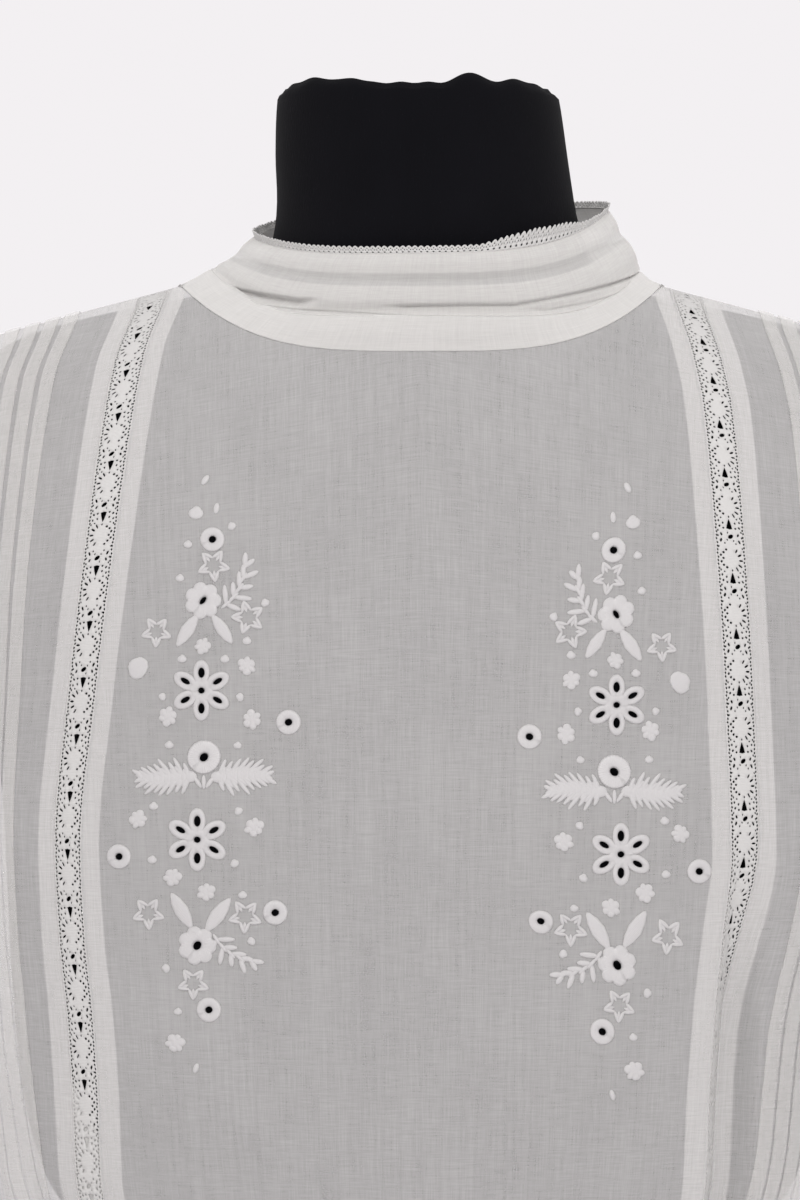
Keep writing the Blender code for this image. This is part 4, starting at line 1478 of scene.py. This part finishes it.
# %% [markdown]
# Each sleeve starts on the armhole, turns over the shoulder in a fan of rings and hangs straight
# down into its cuff. Both are empty and open. The photograph shows none of this, so they are plain.

# %% Sleeves
SLEEVE_PIVOT = (0.1926, 0.608)
SLEEVE_WIDTH = 0.078
SLEEVE_DROP = 1.45
SLEEVE_DEPTH = 0.056
CUFF_TOP = 0.250
CUFF_BOTTOM = 0.200
CUFF_HALF_WIDTH = 0.0270
CUFF_HALF_DEPTH = 0.0360
CUFF_CLEAR = 0.010
CUFF_FORWARD = 0.012
CAP_ROWS = 36
SLEEVE_ROUND = 0.33


def armhole_ring():
    rise = np.pi / 2 * (1 - np.arange(CAP_ROWS + 1) / CAP_ROWS)
    before = on_body(edge_angle(rise), rise, False)[0]
    behind = on_body(edge_angle(rise), rise, True)[0][::-1][1:-1]
    points = np.concatenate([before, behind])
    points[0, 1] = points[CAP_ROWS, 1] = 0.0
    return points


def sleeve_rings(fan=28, rows=110):
    pivot_x, pivot_z = SLEEVE_PIVOT
    start = armhole_ring()
    turn = 2 * np.pi * np.arange(len(start)) / len(start)
    low = start[:, 2].min()
    tall = start[:, 2].max() - low
    rings = []
    for share in np.linspace(0, 1, fan):
        swing = share * np.pi / 2
        even = smooth(share * 1.4)
        reach = (start[:, 2] - low) / tall
        level = 0.5 + 0.5 * np.cos(turn)
        span = tall + (SLEEVE_WIDTH - tall) * smooth(share * SLEEVE_DROP)
        radius = low - pivot_z + (reach + (level - reach) * even) * span
        depth = start[:, 1] + (-SLEEVE_DEPTH * np.sin(turn) - start[:, 1]) * even
        lean = (start[:, 0] + SEAM_GAP - pivot_x) * (1 - even)
        across = pivot_x + radius * math.sin(swing) + lean * math.cos(swing)
        height = pivot_z + radius * math.cos(swing) - lean * math.sin(swing)
        rings.append(np.stack([across, depth, height], -1))
    level_x = rings[-1][:, 0]
    middle = (level_x.max() + level_x.min()) / 2
    cuff_middle = level_x.min() + CUFF_HALF_WIDTH + CUFF_CLEAR
    for share in np.linspace(0, 1, rows)[1:]:
        taper = share**1.7
        half_width = SLEEVE_WIDTH / 2 + (CUFF_HALF_WIDTH - SLEEVE_WIDTH / 2) * taper
        half_depth = SLEEVE_DEPTH + (CUFF_HALF_DEPTH - SLEEVE_DEPTH) * taper
        across = middle + (cuff_middle - middle) * share + half_width * np.cos(turn)
        depth = -CUFF_FORWARD * share**2 - half_depth * np.sin(turn)
        height = np.full(len(turn), pivot_z + (CUFF_TOP + SEAM_GAP - pivot_z) * share)
        rings.append(np.stack([across, depth, height], -1))
    return np.array(rings)

# %% [markdown]
# An empty sleeve is never a smooth tube. A few shallow troughs run round or down it, and small
# gathers sit above the cuff, where the wider sleeve is sewn to the narrower band.

# %% Soft folds, and laying the sleeves
# height, place round the sleeve in degrees, depth, reach up and down, reach round, slope
SLEEVE_FOLDS = (
    (0.545, 150, 0.0035, 0.011, 38, 0.00022),
    (0.500, 60, 0.0030, 0.012, 45, -0.00020),
    (0.468, 120, 0.0040, 0.012, 42, 0.00025),
    (0.430, 210, 0.0030, 0.014, 40, -0.00022),
    (0.400, 100, 0.0028, 0.080, 15, 0.0),
    (0.385, 255, 0.0030, 0.085, 16, 0.0),
    (0.340, 330, 0.0024, 0.060, 14, 0.0),
)
LEFT_TURNED = 24
CUFF_GATHERS = 12
GATHER_DEEP = 0.0009
GATHER_REACH = 0.024


def folded(rings, right):
    """The sleeve with a few soft troughs, drawn in by gathers above its cuff."""
    count = rings.shape[1]
    turn = np.arange(count)[None] * 360 / count + (0 if right else LEFT_TURNED)
    height = rings[..., 2]
    inwards = np.zeros(height.shape)
    for at, middle, deep, reach, wide, slope in SLEEVE_FOLDS:
        away_round = (turn - middle + 180) % 360 - 180
        away = height - at - slope * away_round
        inwards += deep * np.exp(-((away / reach) ** 2) - (away_round / wide) ** 2)
    gathered = np.exp(-(((height - CUFF_TOP) / GATHER_REACH) ** 2))
    inwards += GATHER_DEEP * gathered * (1 + np.sin(np.radians(turn) * CUFF_GATHERS))
    inwards *= smooth((height - CUFF_TOP) / 0.010)
    return rings - unit(rings - rings.mean(axis=1, keepdims=True)) * inwards[..., None]


def lay_tube(name, rings, right, material, thickness, slot, node):
    """A closed tube of rings; the left one is the right one mirrored."""
    points = rings * (1.0 if right else -1.0, 1, 1)
    count = points.shape[1]
    flat_round = np.arange(count) / count * SLEEVE_ROUND
    through_rings(name, points, flat_round, 0, True, material, thickness, slot, node)


sleeve_grid = sleeve_rings()
wrist = sleeve_grid[-1] * (1, 1, 0)
cuff_grid = np.array([wrist + (0, 0, height) for height in np.linspace(CUFF_TOP, CUFF_BOTTOM, 21)])
for right in (False, True):
    hand = HAND[right]
    sleeve = folded(sleeve_grid, right)
    lay_tube("long_sleeve_" + hand, sleeve, right, lawn, LAWN_THICK, "lawn", "sleeve_" + hand)
    doubled = (lawn_folded, FOLDED_THICK, "doubled_lawn")
    lay_tube("cuff_band_" + hand, cuff_grid, right, *doubled, "cuff_" + hand)

# %% [markdown]
# ## Satin stitch
#
# Padded stitches stand up from the cloth like small cushions, and an eyelet is a ring of them round
# its hole. One round pad and one ring are modelled, and every motif is put together from stretched
# copies of these two.

# %% One pad and one ring
def model_pad():
    bpy.ops.object.select_all(action="DESELECT")
    bpy.ops.mesh.primitive_uv_sphere_add(segments=12, ring_count=6, radius=1.0)
    pad = bpy.context.object
    edit_all(
        pad, bpy.ops.transform.rotate, value=math.pi / 2, orient_axis="Y", center_override=(0, 0, 0)
    )
    return pad


def model_ring():
    bpy.ops.object.select_all(action="DESELECT")
    bpy.ops.mesh.primitive_torus_add(
        major_segments=24, minor_segments=8, major_radius=1.0, minor_radius=0.5
    )
    return bpy.context.object


def take_shape(made):
    """The points and faces of a modelled shape, which then leaves the scene."""
    points = np.zeros(len(made.data.vertices) * 3)
    made.data.vertices.foreach_get("co", points)
    faces = [list(face.vertices) for face in made.data.polygons]
    bpy.data.objects.remove(made)
    return points.reshape(-1, 3), faces


PAD = take_shape(model_pad())
RING = take_shape(model_ring())
print("pad:", len(PAD[1]), "faces, ring:", len(RING[1]), "faces")

# %% [markdown]
# The chart words are turned into pads and rings here: a star is five pointed arms, a leaf is one
# long pad, a fern has a stem with leaflets, and each petal of the large flower is an oval ring.

# %% Stitch lists
PAD_HIGH = 0.55
stitches = []


def pad(across, up, length, width, turn, high=PAD_HIGH):
    stitches.append(("pad", across, up, length / 2, width / 2, turn, high))


def ring(across, up, outer, inner, turn=0.0, high=PAD_HIGH):
    stitches.append(("ring", across, up, outer, inner, turn, high))


def ring_of_hole(hole, long, wide):
    """Satin stitch round one of the holes that were cut in the cloth."""
    across, up, inner_long, inner_wide, turn = hole
    ring(across, up, (long, wide), (inner_long, inner_wide), turn)


def leaf(across, up, length, width, turn, high=PAD_HIGH):
    """A pad that comes to a point at both ends."""
    stitches.append(("leaf", across, up, length / 2, width / 2, turn, high))

# %% [markdown]
# Each motif of the chart gets one function. A little sine in a length or a width makes the copies
# differ as hand-worked stitches do, and gives the same result each time the script runs.

# %% Motifs
def stitch_star(across, up, size, turn):
    """Five outlined arms round a lower middle."""
    for arm in range(5):
        lean = 90 + turn + 72 * arm
        tip = reach_from(across, up, size * 0.98, lean)
        middle = reach_from(across, up, size * 0.62, lean)
        leaf(*middle, size * 0.62, size * 0.22, lean, PAD_HIGH * 0.25)
        for side in (-36, 36):
            root = reach_from(across, up, size * 0.46, lean + side)
            middle = ((root[0] + tip[0]) / 2, (root[1] + tip[1]) / 2)
            slope = math.degrees(math.atan2(tip[1] - root[1], tip[0] - root[0]))
            pad(*middle, math.dist(root, tip) * 1.12, 1.45, slope)


def stitch_blossom(across, up, size, turn):
    pad(across, up, size * 1.5, size * 1.5, 0)
    for petal in range(6):
        lean = turn + petal * 60
        long = 0.94 + 0.18 * math.sin(petal * 2.1 + across)
        wide = 0.86 + 0.16 * math.sin(petal * 3.3 + up)
        pad(*reach_from(across, up, size * 0.58, lean + 9 * long), size * long, size * wide, lean)


def stitch_scallop(across, up, size, turn):
    ring_of_hole(holes_of("scallop", across, up, size)[0], size * 0.86, size * 0.86)
    for lobe in range(7):
        lean = turn + lobe * 360 / 7
        pad(*reach_from(across, up, size * 0.66, lean), size * 0.66, size * 0.74, lean)


def stitch_fern(across, up, size, turn):
    """Open fingers on both sides of a bent stem."""
    for joint in range(5):
        share = joint / 4
        bend = turn + 26 * (share - 0.4)
        at = reach_from(across, up, size * share * 0.80, bend)
        pad(*at, size * 0.26, 1.5, bend)
        for side in (-1, 1):
            lean = bend + side * (58 - 34 * share)
            long = size * (0.33 - 0.07 * share) * (1.0 + 0.12 * math.sin(3 * joint + side))
            pad(*reach_from(*at, long * 0.52, lean), long * 1.05, 2.15, lean)


def stitch_feather(across, up, size, turn):
    """Dense stitches along the middle, with separate fingers all round the edge."""
    for joint in range(9):
        share = joint / 8
        at = reach_from(across, up, size * share * 0.78, turn + 6 * math.sin(3 * share))
        fat = 1.0 - 0.9 * abs(share - 0.42) ** 1.5
        pad(*at, size * 0.26, 6.2 * fat, turn)
        for side in (-1, 1):
            lean = turn + side * (66 - 40 * share)
            long = size * 0.40 * fat * (1.0 + 0.14 * math.sin(2.7 * joint + side))
            pad(*reach_from(*at, long * 0.5, lean), long, 1.75, lean)
            pad(*reach_from(*at, long * 0.34, lean - side * 14), long * 0.62, 2.0, lean - side * 14)


def stitch_flower(across, up, size):
    heart, *petals = holes_of("flower", across, up, size)
    ring_of_hole(heart, size * 0.40, size * 0.40)
    for hole in petals:
        ring_of_hole(hole, size * 0.41, size * 0.265)

# %% [markdown]
# Last, the whole chart is read once, and each of its rows adds its stitches to the list.

# %% The whole spray
def stitch_spray():
    for kind, across, up, size, turn in SPRAY:
        if kind == "seed":
            pad(across, up, size * 1.9, size * 1.0, turn)
        elif kind == "dot":
            pad(across, up, size * 1.7, size * 1.35, turn)
            pad(*reach_from(across, up, size * 0.35, turn + 70), size * 1.0, size * 1.1, turn + 40)
        elif kind == "blob":
            pad(across, up, size * 2.0, size * 1.6, turn)
            pad(*reach_from(across, up, size * 0.4, turn + 90), size * 1.3, size, turn)
        elif kind == "eyelet":
            ring_of_hole(holes_of(kind, across, up, size)[0], size, size)
        elif kind == "scallop":
            stitch_scallop(across, up, size, turn)
        elif kind == "ring":
            ring_of_hole(holes_of(kind, across, up, size)[0], size, size * 0.96)
        elif kind == "star":
            stitch_star(across, up, size, turn)
        elif kind == "blossom":
            stitch_blossom(across, up, size * 0.86, turn)
        elif kind == "leaf":
            leaf(across, up, size * 1.12, size * 0.40, turn)
            leaf(across, up, size * 0.80, size * 0.34, turn)
        elif kind == "stems":
            for place in (-3, 0, 3):
                pad(across + place * 0.8, up, size * 0.9, 1.7, 90 - place * 12)
        elif kind == "fern":
            stitch_fern(across, up, size, turn)
        elif kind == "feather":
            stitch_feather(across, up, size, turn)
        elif kind == "flower":
            stitch_flower(across, up, size)


stitch_spray()
print("stitches in one spray:", len(stitches))

# %% [markdown]
# Every stitch of the list is copied from the one pad or the one ring, stretched to its size and
# laid on the cloth with its own mesh, so that the thread stands a little above the lawn and has its
# own sheen.

# %% Lay the stitches on the front
def shaped(stitch):
    """Chart places and heights of one stitch's points, in millimetres, and its own flat places."""
    kind, across, up, first, second, turn, high = stitch
    if kind in ("pad", "leaf"):
        taper = 1 - 0.5 * PAD[0][:, 0] ** 2 if kind == "leaf" else 1.0
        along, over, lift = PAD[0][:, 0] * first, PAD[0][:, 1] * second * taper, PAD[0][:, 2] * high
        flat = np.stack([over, along], -1)
    else:
        shape = RING[0]
        out = np.hypot(shape[:, 0], shape[:, 1])
        t = np.arctan2(shape[:, 1], shape[:, 0])
        share = out - 0.5
        along = (second[0] + (first[0] - second[0]) * share) * np.cos(t)
        over = (second[1] + (first[1] - second[1]) * share) * np.sin(t)
        lift = shape[:, 2] * 2 * high
        flat = np.stack([out * 2, t * 3], -1)
    x, z = turned(across, up, along, over, turn)
    return x, z, lift, flat * 0.001, (RING if kind == "ring" else PAD)[1]


def lay_spray(right):
    xs, zs, lifts, flats, faces, start = [], [], [], [], [], 0
    for stitch in stitches:
        x, z, lift, flat, own_faces = shaped(stitch)
        xs.append(x)
        zs.append(z)
        lifts.append(lift)
        flats.append(flat)
        faces += [[start + corner for corner in face] for face in own_faces]
        start += len(x)
    x, z = spray_place(np.concatenate(xs), np.concatenate(zs), right)
    points, normals = on_front(x, z, np.concatenate(lifts) * 0.001)
    name = "embroidery_" + HAND[right]
    made = new_piece(name, points, faces, np.concatenate(flats), normals * 0, satin_thread)
    # the copies are closed shapes, and the mirrored spray would turn them inside out
    edit_all(made, bpy.ops.mesh.normals_make_consistent, inside=False)
    finish_piece(made, "lace")


for right in (False, True):
    lay_spray(right)

# %% [markdown]
# ## The dress form
#
# A jersey cover over a stiff torso, with no head or limbs. Its shape only matters where it shows
# through the cloth and at the neck, where the jersey is gathered over the flat top.

# %% Form
def room_under_cloth(across, height, back):
    ridge = shoulder_height(across) - FORM_UNDER_CLOTH - UNDERARM
    share = np.clip((height - UNDERARM) / ridge, 0.0, 1.0)
    level = body(height, 2 if back else 1) - 1.5 * FORM_UNDER_CLOTH
    out = np.minimum(np.abs(across) / body(height, 0), 1.0)
    return level * np.sqrt(1 - share**2) * np.sqrt(1 - out**2)


def form_ring(height, around):
    turn = np.linspace(0, 2 * np.pi, around, endpoint=False)
    half_width, front_depth, back_depth, shift = (form(height, column) for column in range(4))
    side, ahead = np.sin(turn), np.cos(turn)
    power = 2.0 / FORM_ROUNDNESS
    across = half_width * np.sign(side) * np.abs(side) ** power + shift
    depth = np.where(ahead >= 0, front_depth, back_depth) * np.abs(ahead) ** power
    if UNDERARM < height < NECK_SIDE_HEIGHT - FORM_UNDER_CLOTH:
        before, behind = (room_under_cloth(across, height, back) for back in (False, True))
        depth = np.minimum(depth, np.where(ahead >= 0, before, behind))
    return np.stack([across, -np.sign(ahead) * depth, np.full(around, height)], -1)

# %% [markdown]
# On top of the neck the jersey is gathered: fine pleats all round and a few bunches in front, which
# break the flat outline. The surface sinks between them, and the highest bunch is level with the
# top of the solid.

# %% Gathers, and building the form
# across, half width and height of each bunch where the jersey is gathered over the neck's top
BUNCHES = (
    (-0.0420, 0.0110, 0.0030),
    (-0.0262, 0.0045, 0.0018),
    (0.0190, 0.0060, 0.0043),
    (0.0375, 0.0085, 0.0022),
)
TOP_SUNK = 0.0043
PLEATS = 26
PLEAT_HIGH = 0.0003


def gathers(points):
    """How far the gathered jersey stands up at the front of the neck's top, or sinks elsewhere."""
    near_top = smooth((points[:, 2] - 0.8640) / 0.0055)
    turn = np.arctan2(points[:, 0], -points[:, 1])
    out = np.hypot(points[:, 0], points[:, 1])
    pleats = PLEAT_HIGH * np.sin(turn * PLEATS + 1.5 * np.sin(3 * turn)) * smooth(out / 0.04)
    ahead = smooth(0.5 - points[:, 1] / 0.05)
    bunches = 0.0
    for across, wide, high in BUNCHES:
        bunches = bunches + high * np.exp(-(((points[:, 0] - across) / wide) ** 2)) * ahead
    return near_top * (pleats + bunches - TOP_SUNK)


def build_form():
    around = 224
    heights = [section[0] for section in FORM_SECTIONS]
    levels = []
    for low, high in zip(heights, heights[1:]):
        count = max(2, int((high - low) / 0.004))
        levels += list(np.linspace(low, high, count, endpoint=False))
    levels.append(heights[-1])
    rings = [form_ring(height, around) for height in levels]
    top, bottom = rings[-1], rings[0]
    middle_top, middle_bottom = top.mean(0), bottom.mean(0)
    for share in (0.9, 0.75, 0.55, 0.35, 0.15):
        rings.append(middle_top + (top - middle_top) * share)
    for share in (0.7, 0.35):
        rings.insert(0, middle_bottom + (bottom - middle_bottom) * share)
    points = np.concatenate([*rings, [rings[0].mean(0)], [rings[-1].mean(0)]])
    points[:, 2] += gathers(points)
    faces = grid_faces(len(rings), around, joined=True)
    last = (len(rings) - 1) * around
    low_pole, high_pole = len(points) - 2, len(points) - 1
    faces += [((k + 1) % around, k, low_pole) for k in range(around)]
    faces += [(last + k, last + (k + 1) % around, high_pole) for k in range(around)]
    flat = points[:, [0, 2]]
    made = new_piece("jersey_form", points, faces, flat, points * 0, jersey)
    edit_all(made, bpy.ops.mesh.normals_make_consistent, inside=False)
    finish_piece(made, "jersey", "form_torso")


build_form()

# %% [markdown]
# The pole, the base and the eight buttons are turned work, so the solid already has their shape.
# Only their finish is added.

# %% Stand and buttons keep their solids
finishes = {"stand_pole": painted_steel, "stand_base": painted_steel}
finishes.update({f"button_{number + 1}": shell for number in range(8)})
for name, material in finishes.items():
    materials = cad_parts[name].data.materials
    materials.clear()
    materials.append(material)
print("solids that keep their shape:", len(finishes))

# %% [markdown]
# ## Studio
#
# A pale floor that fades into a pale surround, and soft light from all sides with a little more
# from above, so that the creases of the collar read without hard shadows.

# %% Floor, light and camera
AIMED_AT = (0.0, 0.0, 0.62)
CAMERA_PLACE = (-0.0084, -2.4, 0.664)


def add_floor():
    bpy.ops.object.select_all(action="DESELECT")
    bpy.ops.mesh.primitive_circle_add(
        vertices=96, radius=6.0, fill_type="NGON", location=(0, 0, -0.0005)
    )
    floor = bpy.context.object
    floor.name = "studio_floor"
    material = new_material("studio floor")
    place = add_node(material, "TexCoord").outputs["Object"]
    mottled = noise(material, place, (3.0, 3.0, 3.0), 1.0)
    colour = two_tones(material, mottled, (0.82, 0.81, 0.82), (0.86, 0.85, 0.86))
    shader = add_node(material, "BsdfPrincipled", {"Base Color": colour, "Roughness": 0.9})
    floor.data.materials.append(surface_of(material, shader))


def add_light(name, place, size, power):
    light = bpy.data.lights.new(name, "AREA")
    light.shape = "RECTANGLE"
    light.size, light.size_y = size
    light.energy = power
    lamp = bpy.data.objects.new(name, light)
    bpy.context.scene.collection.objects.link(lamp)
    lamp.location = place
    aim = np.array(AIMED_AT) - np.array(place)
    tilt = math.acos(-aim[2] / np.linalg.norm(aim))
    lamp.rotation_euler = (tilt, 0.0, math.atan2(-aim[0], aim[1]))


def add_world():
    world = bpy.data.worlds.new("studio")
    bpy.context.scene.world = world
    world.use_nodes = True
    ground = world.node_tree.nodes["Background"]
    ground.inputs["Color"].default_value = (0.895, 0.871, 0.887, 1)
    ground.inputs["Strength"].default_value = 1.0


add_floor()
add_world()
add_light("key", (0.1, -2.1, 1.95), (1.8, 1.2), 29.0)

camera_data = bpy.data.cameras.new("camera")
camera_data.lens = 180.0
camera_data.sensor_width = 36.0
camera = bpy.data.objects.new("camera", camera_data)
bpy.context.scene.collection.objects.link(camera)
camera.location = CAMERA_PLACE
camera.rotation_euler = (math.pi / 2, 0.0, 0.0)
bpy.context.scene.camera = camera
# light passes many layers of cloth on its way
bpy.context.scene.cycles.transparent_max_bounces = 40
bpy.context.scene.view_settings.view_transform = "Standard"
print("camera at", CAMERA_PLACE)

# %% [markdown]

# %% [markdown]
# ## Finish

# %% Finish
bpy.context.view_layer.update()
